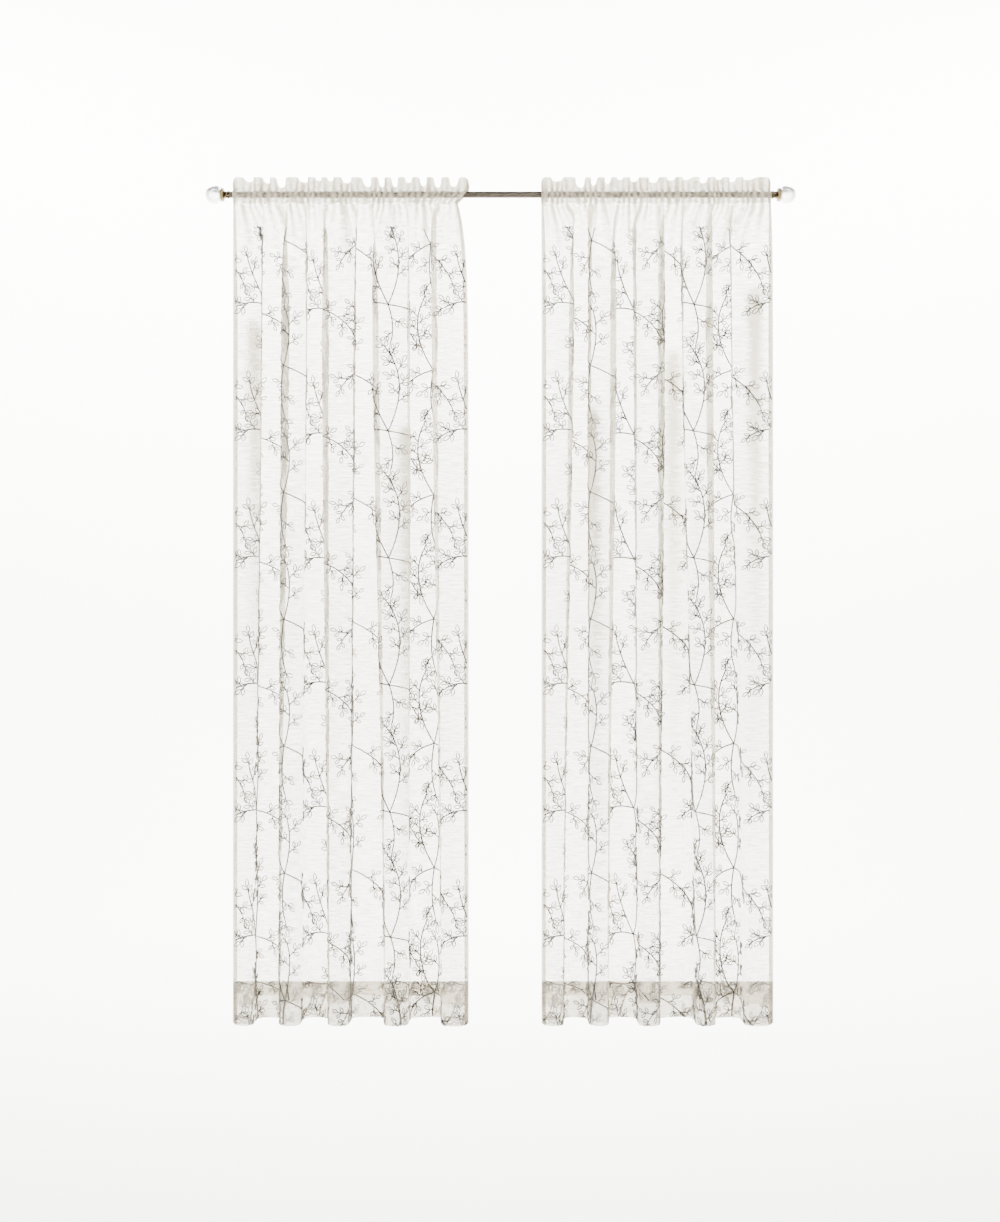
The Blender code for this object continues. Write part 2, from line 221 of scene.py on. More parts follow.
# A crease is a soft ridge, or a trough where its height is negative: the share of the cloth to its
# left, how much of a share it drifts to its foot, how far below the lower seam it ends, its
# height, its width as a share, and how far below the lower seam it starts
Crease = namedtuple("Crease", "share drift foot height width top", defaults=(POCKET_CREASE_TOP,))
Panel = namedtuple(
    "Panel", "side rod_left rod_right hem_left hem_right gathers turns creases ruche_start"
)
PANELS = (
    Panel(
        side="left",
        rod_left=-0.677,
        rod_right=-0.108,
        hem_left=-0.670,
        hem_right=-0.080,
        gathers=(
            Gather(end=0.040, lean=34),
            Gather(end=0.086, lean=42),
            Gather(end=0.116, lean=62),
            Gather(end=0.180, lean=36),
            Gather(end=0.217, lean=26),
            Gather(end=0.243, lean=28),
            Gather(end=0.283, lean=40),
            Gather(end=0.337, lean=58),
            Gather(end=0.370, lean=60),
            Gather(end=0.401, lean=60),
            Gather(end=0.434, lean=38),
            Gather(end=0.468, lean=56),
            Gather(end=0.500, lean=62),
            Gather(end=0.535, lean=58),
            Gather(end=0.569, lean=15),
        ),
        turns=(
            Turn(top=0.066, foot=0.049, depth=0.078),
            Turn(top=0.125, foot=0.111, depth=0.074),
            Turn(top=0.180, foot=0.167, depth=0.082),
            Turn(top=0.226, foot=0.234, depth=0.076),
            Turn(top=0.302, foot=0.290, depth=0.084),
            Turn(top=0.352, foot=0.376, depth=0.080),
            Turn(top=0.437, foot=0.439, depth=0.076),
            Turn(top=0.501, foot=0.520, depth=0.084),
        ),
        creases=(
            Crease(share=0.040, drift=0.004, foot=0.17, height=0.0040, width=0.008),
            Crease(share=0.075, drift=-0.002, foot=0.11, height=0.0032, width=0.006),
            Crease(share=0.206, drift=-0.020, foot=0.21, height=0.0048, width=0.008),
            Crease(share=0.253, drift=0.002, foot=0.15, height=0.0040, width=0.007),
            Crease(share=0.320, drift=0.006, foot=0.19, height=0.0044, width=0.007),
            Crease(share=0.418, drift=-0.004, foot=0.16, height=0.0040, width=0.006),
            Crease(share=0.489, drift=0.003, foot=0.20, height=0.0046, width=0.008),
            Crease(share=0.529, drift=0.007, foot=0.13, height=0.0036, width=0.006),
            Crease(share=0.618, drift=-0.003, foot=0.18, height=0.0044, width=0.007),
            Crease(share=0.640, drift=0.003, foot=0.10, height=0.0030, width=0.005),
            Crease(share=0.716, drift=-0.006, foot=0.17, height=0.0042, width=0.007),
            Crease(share=0.738, drift=0.002, foot=0.09, height=0.0032, width=0.005),
            Crease(share=0.769, drift=0.008, foot=0.16, height=0.0040, width=0.006),
            Crease(share=0.845, drift=-0.003, foot=0.21, height=0.0046, width=0.008),
            Crease(share=0.907, drift=0.005, foot=0.15, height=0.0040, width=0.007),
            Crease(share=0.991, drift=-0.002, foot=0.12, height=0.0030, width=0.006),
            Crease(share=0.045, drift=0.010, top=0.28, foot=1.60, height=0.0030, width=0.018),
            Crease(share=0.180, drift=-0.008, top=0.16, foot=1.20, height=-0.0035, width=0.016),
            Crease(share=0.395, drift=0.010, top=0.45, foot=1.95, height=0.0030, width=0.015),
            Crease(share=0.530, drift=-0.006, top=0.20, foot=1.40, height=-0.0032, width=0.016),
            Crease(share=0.742, drift=0.008, top=0.55, foot=2.00, height=0.0032, width=0.018),
            Crease(share=0.955, drift=-0.010, top=0.22, foot=1.70, height=-0.0036, width=0.014),
        ),
        ruche_start=0.15,
    ),
    Panel(
        side="right",
        rod_left=0.1026,
        rod_right=0.6840,
        hem_left=0.1023,
        hem_right=0.6823,
        gathers=(
            Gather(end=0.039, lean=30),
            Gather(end=0.104, lean=62),
            Gather(end=0.133, lean=52),
            Gather(end=0.170, lean=44),
            Gather(end=0.199, lean=20),
            Gather(end=0.234, lean=32),
            Gather(end=0.286, lean=38),
            Gather(end=0.330, lean=24),
            Gather(end=0.367, lean=20),
            Gather(end=0.413, lean=40),
            Gather(end=0.450, lean=18),
            Gather(end=0.486, lean=34),
            Gather(end=0.521, lean=20),
            Gather(end=0.5814, lean=15),
        ),
        turns=(
            Turn(top=0.078, foot=0.057, depth=0.080),
            Turn(top=0.123, foot=0.119, depth=0.076),
            Turn(top=0.184, foot=0.170, depth=0.080),
            Turn(top=0.236, foot=0.244, depth=0.084),
            Turn(top=0.305, foot=0.300, depth=0.078),
            Turn(top=0.356, foot=0.389, depth=0.084),
            Turn(top=0.425, foot=0.440, depth=0.074),
            Turn(top=0.480, foot=0.509, depth=0.078),
        ),
        creases=(
            Crease(share=0.043, drift=0.003, foot=0.15, height=0.0038, width=0.007),
            Crease(share=0.112, drift=-0.004, foot=0.18, height=0.0044, width=0.008),
            Crease(share=0.228, drift=-0.018, foot=0.22, height=0.0048, width=0.008),
            Crease(share=0.278, drift=0.003, foot=0.13, height=0.0038, width=0.006),
            Crease(share=0.334, drift=0.006, foot=0.19, height=0.0044, width=0.007),
            Crease(share=0.382, drift=-0.002, foot=0.12, height=0.0036, width=0.006),
            Crease(share=0.430, drift=0.004, foot=0.20, height=0.0044, width=0.007),
            Crease(share=0.460, drift=0.002, foot=0.10, height=0.0032, width=0.005),
            Crease(share=0.513, drift=-0.005, foot=0.18, height=0.0044, width=0.007),
            Crease(share=0.626, drift=0.004, foot=0.21, height=0.0048, width=0.008),
            Crease(share=0.691, drift=-0.003, foot=0.14, height=0.0038, width=0.006),
            Crease(share=0.739, drift=0.006, foot=0.17, height=0.0042, width=0.007),
            Crease(share=0.835, drift=-0.006, foot=0.20, height=0.0046, width=0.008),
            Crease(share=0.887, drift=0.002, foot=0.12, height=0.0036, width=0.006),
            Crease(share=0.917, drift=0.005, foot=0.16, height=0.0038, width=0.006),
            Crease(share=0.961, drift=-0.003, foot=0.11, height=0.0032, width=0.006),
            Crease(share=0.050, drift=-0.008, top=0.24, foot=1.50, height=-0.0034, width=0.016),
            Crease(share=0.235, drift=0.010, top=0.50, foot=1.90, height=0.0030, width=0.016),
            Crease(share=0.420, drift=-0.006, top=0.18, foot=1.30, height=-0.0034, width=0.015),
            Crease(share=0.605, drift=0.008, top=0.35, foot=1.75, height=0.0032, width=0.018),
            Crease(share=0.785, drift=-0.010, top=0.60, foot=2.00, height=-0.0030, width=0.014),
            Crease(share=0.960, drift=0.006, top=0.20, foot=1.60, height=0.0034, width=0.016),
        ),
        ruche_start=0.62,
    ),
)

# One row of values for each column of points across a panel: share of the cloth to its left,
# wave (-1 where the gather loops forward, +1 back), its turn within the gather and its ruffle lean
Columns = namedtuple("Columns", "share wave phase width lean")
# The whole cloth of a panel: its points, unit normals and fine pleats by row and column, the
# distances across and along the flat cloth, and how far along it the seams and folds lie
Cloth = namedtuple("Cloth", "points normals pleats across along marks width length")

# The embroidery's repeat: branches that fan out from two nodes. Places and lengths are metres on
# the flat cloth, and headings are degrees from its width
Branch = namedtuple("Branch", "across along heading length bend sprigs")
BRANCHES = (
    Branch(across=0.090, along=0.050, heading=66, length=0.215, bend=62, sprigs=8),
    Branch(across=0.090, along=0.050, heading=118, length=0.120, bend=-14, sprigs=3),
    Branch(across=0.090, along=0.050, heading=-8, length=0.160, bend=-52, sprigs=6),
    Branch(across=0.090, along=0.050, heading=168, length=0.085, bend=44, sprigs=4),
    Branch(across=0.090, along=0.050, heading=-72, length=0.095, bend=-34, sprigs=3),
    Branch(across=0.275, along=0.215, heading=122, length=0.185, bend=-58, sprigs=7),
    Branch(across=0.275, along=0.215, heading=74, length=0.130, bend=30, sprigs=4),
    Branch(across=0.275, along=0.215, heading=-22, length=0.165, bend=-40, sprigs=6),
    Branch(across=0.275, along=0.215, heading=196, length=0.090, bend=40, sprigs=4),
    Branch(across=0.275, along=0.215, heading=-100, length=0.120, bend=26, sprigs=4),
)
STEM_STEP = 0.0085
# Sprigs start this share up a branch. Each one's turn off it in degrees, length and bend are drawn
# from these ranges, and so are its leaves' scale and their turn in degrees
FIRST_SPRIG = 0.34
SPRIG_SEED = 11
STALK_STEP = 0.0065
SPRIG_TURNS = (34, 58)
SPRIG_LENGTHS = (0.016, 0.030)
SPRIG_BENDS = (-10, 22)
LEAF_SCALES = (0.82, 1.12)
LEAF_TURNS = (40, 62)
# Half of an almond leaf's outline, as shares of its length and of half its width
LEAF_OUTLINE = ((0.30, 0.86), (0.68, 0.80))
LEAF_STALK = 0.003
# The two leaves below a sprig's tip are a little smaller than the one at its tip
LOWER_LEAF_LENGTH = 0.88
LOWER_LEAF_WIDTH = 0.92
# The threads' radii, several times those of real thread so that they show
STEM_RADIUS = 0.00190
TWIG_RADIUS = 0.00150
LEAF_THREAD_RADIUS = 0.00130
THREAD_SIDES = 3
EMBROIDERY_STRAND = 0.003
# The embroidery keeps clear of the cloth's edges, and ends this far under the pocket, where the
# gathers would bunch it
EMBROIDERY_MARGIN = 0.003
BARE_UNDER_POCKET = 0.062

# Lines of sewing lie this far in from a folded edge, and stitches this far off the cloth
EDGE_TO_STITCHES = 0.0015
STITCH_LIFT = 0.0002

# What turns a mesh half round the Z axis, and what stands its X axis up along Z
HALF_TURN = Matrix.Diagonal((-1, -1, 1, 1))
TURNED_UPRIGHT = Matrix(((0, 1, 0, 0), (0, 0, 1, 0), (1, 0, 0, 0), (0, 0, 0, 1)))

# The floor's edge rises in this bend, over so many steps, to a wall of this height
FLOOR_BEND = 1.6
FLOOR_BEND_STEPS = 12
FLOOR_RISE = 7.0
FLOOR_SIDES = 96

# The lights: where each is and points, its size, the setting of its power, and its colour
AreaLight = namedtuple("AreaLight", "name place target size power colour")
WARM_WHITE = (1.0, 0.995, 0.98)
LIGHTS = (
    AreaLight(
        name="key",
        place=(-2.6, -3.0, 1.4),
        target=(0.0, 0.0, -1.0),
        size=(2.4, 2.4),
        power="key_power",
        colour=(1.0, 0.99, 0.97),
    ),
    AreaLight(
        name="top",
        place=(0.0, -1.3, 1.5),
        target=(0.0, 0.0, 0.0),
        size=(2.4, 0.5),
        power="top_power",
        colour=(1.0, 1.0, 1.0),
    ),
    AreaLight(
        name="backdrop_left",
        place=(-2.4, 2.6, 3.4),
        target=(-0.9, 7.5, -0.8),
        size=(3.0, 1.5),
        power="back_power",
        colour=WARM_WHITE,
    ),
    AreaLight(
        name="backdrop_right",
        place=(2.4, 2.6, 3.4),
        target=(0.9, 7.5, -0.8),
        size=(3.0, 1.5),
        power="back_power",
        colour=WARM_WHITE,
    ),
)


def linear(hex_colour):
    """A linear RGB colour from an sRGB hex value."""
    values = [int(hex_colour[i : i + 2], 16) / 255 for i in (0, 2, 4)]
    return tuple(v / 12.92 if v <= 0.04045 else ((v + 0.055) / 1.055) ** 2.4 for v in values)


def colour_property(name, description, hex_colour):
    """A colour that the sidebar shows as one."""
    return FloatVectorProperty(
        name=name,
        description=description,
        default=linear(hex_colour),
        subtype="COLOR",
        min=0.0,
        max=1.0,
    )


class ClothSettings(bpy.types.PropertyGroup):
    warm_yarn: colour_property("Warm yarn", "Colour of the voile's creamier yarns", "DCD1B9")
    cool_yarn: colour_property("Cool yarn", "Colour of the voile's whiter yarns", "D3CDBE")
    cover: FloatProperty(
        name="Cover",
        description="Share of the voile's surface that its yarns cover",
        default=0.60,
        min=0.1,
        max=1.0,
        subtype="FACTOR",
    )
    yarn_spacing: FloatProperty(
        name="Yarn spacing",
        description="Distance between two drawn yarns, coarser than the real 0.4 mm so it shows",
        default=0.0012,
        unit="LENGTH",
    )
    slub_length: FloatProperty(
        name="Slub length",
        description="Usual length of the thick places in the weft",
        default=0.040,
        unit="LENGTH",
    )
    slub_width: FloatProperty(
        name="Slub width",
        description="Usual distance between two slubs along the cloth",
        default=0.0035,
        unit="LENGTH",
    )
    ruche_height: FloatProperty(
        name="Ruche height",
        description="How far the fine ruching stands out over the rod",
        default=RUCHE_HEIGHT,
        unit="LENGTH",
    )


class EmbroiderySettings(bpy.types.PropertyGroup):
    # The embroidery thread's colour is darkened far below its real ivory white: painted shade for
    # thread seen dark against the light behind the cloth
    thread: colour_property("Thread", "Colour of the embroidery thread", "484339")
    # Painted shade: the darker colour in the grooves between the thread's strands
    painted_strand_shade: colour_property("Thread shade", "Colour between the thread's strands", "26231D")
    repeat_across: FloatProperty(
        name="Repeat across", description="Width of one repeat", default=0.380, unit="LENGTH"
    )
    repeat_along: FloatProperty(
        name="Repeat along", description="Height of one repeat", default=0.318, unit="LENGTH"
    )
    leaf_length: FloatProperty(
        name="Leaf length", description="Length of a leaf's outline", default=0.0190, unit="LENGTH"
    )
    leaf_width: FloatProperty(
        name="Leaf width", description="Width of a leaf's outline", default=0.0096, unit="LENGTH"
    )
    thickness: FloatProperty(
        name="Thickness", description="Factor on the thickness of every line", default=1.0
    )


class StitchSettings(bpy.types.PropertyGroup):
    thread: colour_property("Thread", "Colour of the sewing thread", "ECE9E1")
    pitch: FloatProperty(
        name="Pitch", description="Distance from stitch to stitch", default=0.0032, unit="LENGTH"
    )
    length: FloatProperty(
        name="Length", description="Length of one stitch", default=0.0025, unit="LENGTH"
    )
    thickness: FloatProperty(
        name="Thickness", description="Thickness of the thread", default=0.0005, unit="LENGTH"
    )


class HardwareSettings(bpy.types.PropertyGroup):
    # The rod's colour is darkened well below real satin nickel's: a painted dark reflection of
    # surroundings that the plating would mirror
    nickel_with_painted_dark_reflection: colour_property("Nickel", "Colour of the rod's satin plating", "564F47")
    bronze: colour_property("Bronze", "Colour of the collars' dark patina", "2E2418")
    # This gold serves the rubbed spots and also a painted glint on the collars' rims
    worn_bronze_and_glint: colour_property("Worn bronze", "Colour where the patina is rubbed off", "BFAB82")
    glass: colour_property("Glass", "Tint of the glass balls", "E2E8E4")


class StageSettings(bpy.types.PropertyGroup):
    floor: colour_property("Floor", "Colour of the pale floor and its rising edge", "F4F4F2")
    floor_height: FloatProperty(
        name="Floor height", description="Height of the floor", default=-2.90, unit="LENGTH"
    )
    floor_radius: FloatProperty(
        name="Floor radius", description="Where the floor rises", default=7.5, unit="LENGTH"
    )
    camera_distance: FloatProperty(
        name="Camera distance", description="From the rod's plane", default=3.6, unit="LENGTH"
    )
    camera_height: FloatProperty(
        name="Camera height", description="Height of the camera", default=-1.0531, unit="LENGTH"
    )
    camera_offset: FloatProperty(
        name="Camera offset", description="Sideways place", default=-0.0016, unit="LENGTH"
    )
    lens: FloatProperty(name="Lens", description="Focal length in mm", default=41.92)
    key_power: FloatProperty(
        name="Key light", description="Power of the large soft front light", default=35.0
    )
    top_power: FloatProperty(
        name="Top light", description="Power of the long light over the rod", default=18.0
    )
    back_power: FloatProperty(
        name="Backdrop light",
        description="Power of each of the two lights on the backdrop behind the cloth",
        default=2500.0,
    )
    sky_strength: FloatProperty(
        name="Surround", description="Strength of the even light from above", default=0.5
    )


def add_node(tree, kind, settings=None, inputs=None):
    """Adds one node, sets its options, and sets or links its inputs."""
    node = tree.nodes.new(kind)
    for name, value in (settings or {}).items():
        setattr(node, name, value)
    for key, value in (inputs or {}).items():
        if isinstance(value, bpy.types.NodeSocket):
            tree.links.new(value, node.inputs[key])
        else:
            node.inputs[key].default_value = value
    return node


def empty_material(name):
    """A new material without nodes, and its tree."""
    material = bpy.data.materials.new(name)
    material.use_nodes = True
    material.node_tree.nodes.clear()
    return material, material.node_tree


def opaque(colour):
    """The colour with full alpha, as colour sockets need it."""
    return (*colour, 1.0)


def voile_material(settings):
    """Woven polyester voile: sheer, matt, with uneven slubs in the weft that break up its cover.

    Light comes through it as well as off it, so folds seen against the light turn grey."""
    material, tree = empty_material("woven_polyester_voile")
    uv = add_node(tree, "ShaderNodeUVMap", {"uv_map": CLOTH_UV}).outputs["UV"]
    turns = 2 * math.pi / settings.yarn_spacing
    angles = add_node(
        tree,
        "ShaderNodeVectorMath",
        {"operation": "SCALE"},
        {0: uv, "Scale": turns},
    ).outputs[0]
    waves = add_node(tree, "ShaderNodeVectorMath", {"operation": "SINE"}, {0: angles}).outputs[0]
    yarns = add_node(
        tree, "ShaderNodeVectorMath", {"operation": "DOT_PRODUCT"}, {0: waves, 1: (0.5, 0.5, 0.0)}
    ).outputs["Value"]
    slub_place = add_node(
        tree,
        "ShaderNodeVectorMath",
        {"operation": "MULTIPLY"},
        {0: uv, 1: (1 / settings.slub_length, 1 / settings.slub_width, 1.0)},
    ).outputs[0]
    slubs = add_node(
        tree,
        "ShaderNodeTexNoise",
        {"noise_dimensions": "2D"},
        {"Vector": slub_place, "Scale": 1.0, "Detail": 2.0, "Roughness": 0.6},
    ).outputs["Fac"]
    slub_cover = add_node(
        tree,
        "ShaderNodeMapRange",
        {},
        {"Value": slubs, "From Min": 0.30, "From Max": 0.72, "To Min": -0.14, "To Max": 0.20},
    ).outputs["Result"]
    yarn_cover = add_node(
        tree,
        "ShaderNodeMath",
        {"operation": "MULTIPLY_ADD"},
        {0: yarns, 1: 0.10, 2: settings.cover},
    ).outputs[0]
    single_cover = add_node(
        tree, "ShaderNodeMath", {"operation": "ADD"}, {0: yarn_cover, 1: slub_cover}
    ).outputs[0]
    # Fine pleats lie double, so they cover more
    pleats = add_node(tree, "ShaderNodeAttribute", {"attribute_name": "pleats"})
    cover = add_node(
        tree,
        "ShaderNodeMath",
        {"operation": "MULTIPLY_ADD", "use_clamp": True},
        {0: pleats.outputs["Fac"], 1: PLEAT_COVER, 2: single_cover},
    ).outputs[0]
    colour = add_node(
        tree,
        "ShaderNodeMix",
        {"data_type": "RGBA"},
        {0: slubs, 6: opaque(settings.cool_yarn), 7: opaque(settings.warm_yarn)},
    ).outputs[2]
    height = add_node(
        tree, "ShaderNodeMath", {"operation": "ADD"}, {0: yarns, 1: slubs}
    ).outputs[0]
    bump = add_node(
        tree,
        "ShaderNodeBump",
        {},
        {"Strength": 0.35, "Distance": 0.0004, "Height": height},
    ).outputs["Normal"]
    surface = add_node(
        tree,
        "ShaderNodeBsdfPrincipled",
        {},
        {"Base Color": colour, "Roughness": 0.88, "Specular IOR Level": 0.25, "Normal": bump},
    ).outputs["BSDF"]
    through = add_node(
        tree, "ShaderNodeBsdfTranslucent", {}, {"Color": colour, "Normal": bump}
    ).outputs["BSDF"]
    yarn = add_node(
        tree, "ShaderNodeMixShader", {}, {"Fac": 0.45, 1: surface, 2: through}
    ).outputs["Shader"]
    gaps = add_node(
        tree, "ShaderNodeBsdfTransparent", {}, {"Color": (1.0, 1.0, 1.0, 1.0)}
    ).outputs["BSDF"]
    cloth = add_node(tree, "ShaderNodeMixShader", {}, {"Fac": cover, 1: gaps, 2: yarn})
    add_node(tree, "ShaderNodeOutputMaterial", {}, {"Surface": cloth.outputs["Shader"]})
    return material


def thread_material(name, thread, painted_strand_shade, strand_length):
    """Spun rayon thread laid in short stitches: soft, slightly silky, with painted shade between its
    strands.
    """
    material, tree = empty_material(name)
    along = add_node(tree, "ShaderNodeAttribute", {"attribute_name": "thread_length"})
    # Painted shade between strands: darker where one strand meets the next, along the thread
    strands = add_node(
        tree,
        "ShaderNodeMath",
        {"operation": "PINGPONG"},
        {0: along.outputs["Fac"], 1: strand_length / 2},
    ).outputs[0]
    light = add_node(
        tree,
        "ShaderNodeMapRange",
        {},
        {"Value": strands, "From Min": 0.0, "From Max": strand_length / 4},
    ).outputs["Result"]
    place = add_node(tree, "ShaderNodeTexCoord").outputs["Object"]
    fuzz = add_node(
        tree, "ShaderNodeTexNoise", {}, {"Vector": place, "Scale": 900.0, "Detail": 2.0}
    ).outputs["Fac"]
    blend = add_node(
        tree, "ShaderNodeMath", {"operation": "MULTIPLY_ADD"}, {0: fuzz, 1: 0.4, 2: light}
    ).outputs[0]
    colour = add_node(
        tree,
        "ShaderNodeMix",
        {"data_type": "RGBA", "clamp_factor": True},
        {0: blend, 6: opaque(painted_strand_shade), 7: opaque(thread)},
    ).outputs[2]
    bump = add_node(
        tree, "ShaderNodeBump", {}, {"Strength": 0.5, "Distance": 0.0003, "Height": blend}
    ).outputs["Normal"]
    shader = add_node(
        tree,
        "ShaderNodeBsdfPrincipled",
        {},
        {"Base Color": colour, "Roughness": 0.62, "Sheen Weight": 0.25, "Normal": bump},
    )
    add_node(tree, "ShaderNodeOutputMaterial", {}, {"Surface": shader.outputs["BSDF"]})
    return material


def nickel_material(settings):
    """Satin nickel plating, brushed along the rod: long faint streaks in a soft highlight, on a
    colour darkened as a painted dark reflection.
    """
    material, tree = empty_material("brushed_satin_nickel")
    place = add_node(tree, "ShaderNodeTexCoord").outputs["Object"]
    # Brush marks 40 mm long and 0.3 mm apart
    streak_place = add_node(
        tree,
        "ShaderNodeVectorMath",
        {"operation": "MULTIPLY"},
        {0: place, 1: (25.0, 3300.0, 3300.0)},
    ).outputs[0]
    streaks = add_node(
        tree, "ShaderNodeTexNoise", {}, {"Vector": streak_place, "Scale": 1.0, "Detail": 3.0}
    ).outputs["Fac"]
    roughness = add_node(
        tree,
        "ShaderNodeMapRange",
        {},
        {"Value": streaks, "From Min": 0.3, "From Max": 0.7, "To Min": 0.18, "To Max": 0.32},
    ).outputs["Result"]
    bump = add_node(
        tree, "ShaderNodeBump", {}, {"Strength": 0.12, "Distance": 0.0001, "Height": streaks}
    ).outputs["Normal"]
    darker = tuple(0.82 * value for value in settings.nickel_with_painted_dark_reflection)
    colour = add_node(
        tree,
        "ShaderNodeMix",
        {"data_type": "RGBA"},
        {0: streaks, 6: opaque(darker), 7: opaque(settings.nickel_with_painted_dark_reflection)},
    ).outputs[2]
    shader = add_node(
        tree,
        "ShaderNodeBsdfPrincipled",
        {},
        {"Base Color": colour, "Metallic": 1.0, "Roughness": roughness, "Normal": bump},
    )
    add_node(tree, "ShaderNodeOutputMaterial", {}, {"Surface": shader.outputs["BSDF"]})
    return material


def bronze_material(settings):
    """Antiqued cast bronze: dark patina in the hollows, rubbed to gold in spots, and gold on the rims
    that is partly rubbed wear and partly a painted glint.
    """
    material, tree = empty_material("antiqued_cast_bronze")
    place = add_node(tree, "ShaderNodeTexCoord").outputs["Object"]
    square = add_node(
        tree,
        "ShaderNodeVectorMath",
        {"operation": "MULTIPLY"},
        {0: place, 1: (0.0, 1.0, 1.0)},
    ).outputs[0]
    radius = add_node(
        tree, "ShaderNodeVectorMath", {"operation": "LENGTH"}, {0: square}
    ).outputs["Value"]
    # Gold towards the largest radius, on the flange's rim: partly rubbed wear, partly a painted glint
    rim_wear_and_glint = add_node(
        tree,
        "ShaderNodeMapRange",
        {},
        {"Value": radius, "From Min": 0.0152, "From Max": 0.0172, "To Max": 0.45},
    ).outputs["Result"]
    # Patina spots about 2 mm across
    spots = add_node(
        tree, "ShaderNodeTexNoise", {}, {"Vector": place, "Scale": 420.0, "Detail": 4.0}
    ).outputs["Fac"]
    rubbed = add_node(
        tree,
        "ShaderNodeMapRange",
        {},
        {"Value": spots, "From Min": 0.52, "From Max": 0.70},
    ).outputs["Result"]
    wear_and_glint = add_node(
        tree, "ShaderNodeMath", {"operation": "ADD", "use_clamp": True}, {0: rim_wear_and_glint, 1: rubbed}
    ).outputs[0]
    colour = add_node(
        tree,
        "ShaderNodeMix",
        {"data_type": "RGBA"},
        {0: wear_and_glint, 6: opaque(settings.bronze), 7: opaque(settings.worn_bronze_and_glint)},
    ).outputs[2]
    roughness = add_node(
        tree, "ShaderNodeMapRange", {}, {"Value": wear_and_glint, "To Min": 0.42, "To Max": 0.22}
    ).outputs["Result"]
    bump = add_node(
        tree, "ShaderNodeBump", {}, {"Strength": 0.2, "Distance": 0.0002, "Height": spots}
    ).outputs["Normal"]
    shader = add_node(
        tree,
        "ShaderNodeBsdfPrincipled",
        {},
        {"Base Color": colour, "Metallic": 1.0, "Roughness": roughness, "Normal": bump},
    )
    add_node(tree, "ShaderNodeOutputMaterial", {}, {"Surface": shader.outputs["BSDF"]})
    return material


def glass_material(settings):
    """Pressed clear glass with a satin finish: soft inside, with faint waves from the mould."""
    material, tree = empty_material("pressed_clear_glass")
    place = add_node(tree, "ShaderNodeTexCoord").outputs["Object"]
    # Mould waves about 12 mm across
    waves = add_node(
        tree, "ShaderNodeTexNoise", {}, {"Vector": place, "Scale": 80.0, "Detail": 1.0}
    ).outputs["Fac"]
    bump = add_node(
        tree, "ShaderNodeBump", {}, {"Strength": 0.25, "Distance": 0.0015, "Height": waves}
    ).outputs["Normal"]
    shader = add_node(
        tree,
        "ShaderNodeBsdfPrincipled",
        {},
        {
            "Base Color": opaque(settings.glass),
            "Roughness": 0.30,
            "IOR": 1.45,
            "Transmission Weight": 1.0,
            "Normal": bump,
        },
    )
    add_node(tree, "ShaderNodeOutputMaterial", {}, {"Surface": shader.outputs["BSDF"]})
    return material


def floor_material(settings):
    """Matt painted board: plain and pale, with a barely uneven coat."""
    material, tree = empty_material("matt_painted_board")
    place = add_node(tree, "ShaderNodeTexCoord").outputs["Object"]
    coat = add_node(
        tree, "ShaderNodeTexNoise", {}, {"Vector": place, "Scale": 3.0, "Detail": 2.0}
    ).outputs["Fac"]
    roughness = add_node(
        tree, "ShaderNodeMapRange", {}, {"Value": coat, "To Min": 0.85, "To Max": 0.95}
    ).outputs["Result"]
    shader = add_node(
        tree,
        "ShaderNodeBsdfPrincipled",
        {},
        {
            "Base Color": opaque(settings.floor),
            "Roughness": roughness,
            "Specular IOR Level": 0.1,
        },
    )
    add_node(tree, "ShaderNodeOutputMaterial", {}, {"Surface": shader.outputs["BSDF"]})
    return material


def new_piece(name, mesh, material):
    """A new object with that mesh, shaded smooth, in one material."""
    mesh.name = name
    mesh.materials.clear()
    mesh.materials.append(material)
    mesh.shade_smooth()
    obj = bpy.data.objects.new(name, mesh)
    bpy.context.scene.collection.objects.link(obj)
    return obj


def gather_columns(panel, share):
    """The gathers' values at these shares of the cloth's width."""
    ends = np.array([gather.end for gather in panel.gathers])
    starts = np.concatenate([[0.0], ends[:-1]])
    leans = np.array([EDGE_LEAN] + [math.radians(gather.lean) for gather in panel.gathers])
    place = share * ends[-1]
    last = len(ends) - 1
    i = np.minimum(np.searchsorted(ends, place), last)
    width = (ends - starts)[i]
    first_phase = np.where(i == 0, EDGE_PHASE, 0.0)
    last_phase = np.where(i == last, 1.0 - EDGE_PHASE, 1.0)
    phase = first_phase + (last_phase - first_phase) * (place - starts[i]) / width
    back = (1 + np.cos(2 * np.pi * phase)) / 2
    lean_back = np.where(phase < 0.5, leans[i], leans[i + 1])
    lean = LEAN_FORWARD + back * (lean_back - LEAN_FORWARD)
    return Columns(share=share, wave=2 * back - 1, phase=phase, width=width, lean=lean)


def fold_corners(panel, drop):
    """The panel's deep folds seen from above at one height, as sharp corners (x, y)."""
    share = min(drop / BODY_DROP, 1.0)
    share = share * share * (3 - 2 * share)
    grown = 1 - math.exp(-drop / FOLD_GROWTH)
    left = panel.rod_left + (panel.hem_left - panel.rod_left) * grown
    right = panel.rod_right + (panel.hem_right - panel.rod_right) * grown
    overhang = FOLD_LEAN * grown / 2 * (1 + (LEAN_AT_HEM - 1) * share)
    corners = [(left, -panel.turns[0].depth * grown / 2)]
    facing = -1
    for turn in panel.turns:
        x = panel.hem_left + turn.top + (turn.foot - turn.top) * share
        y = turn.depth * grown / 2 * (DEPTH_AT_TOP + (1 - DEPTH_AT_TOP) * share)
        corners.append((x + overhang, facing * y))
        corners.append((x - overhang, -facing * y))
        facing = -facing
    corners.append((right, facing * panel.turns[-1].depth * grown / 2))
    return np.array(corners)


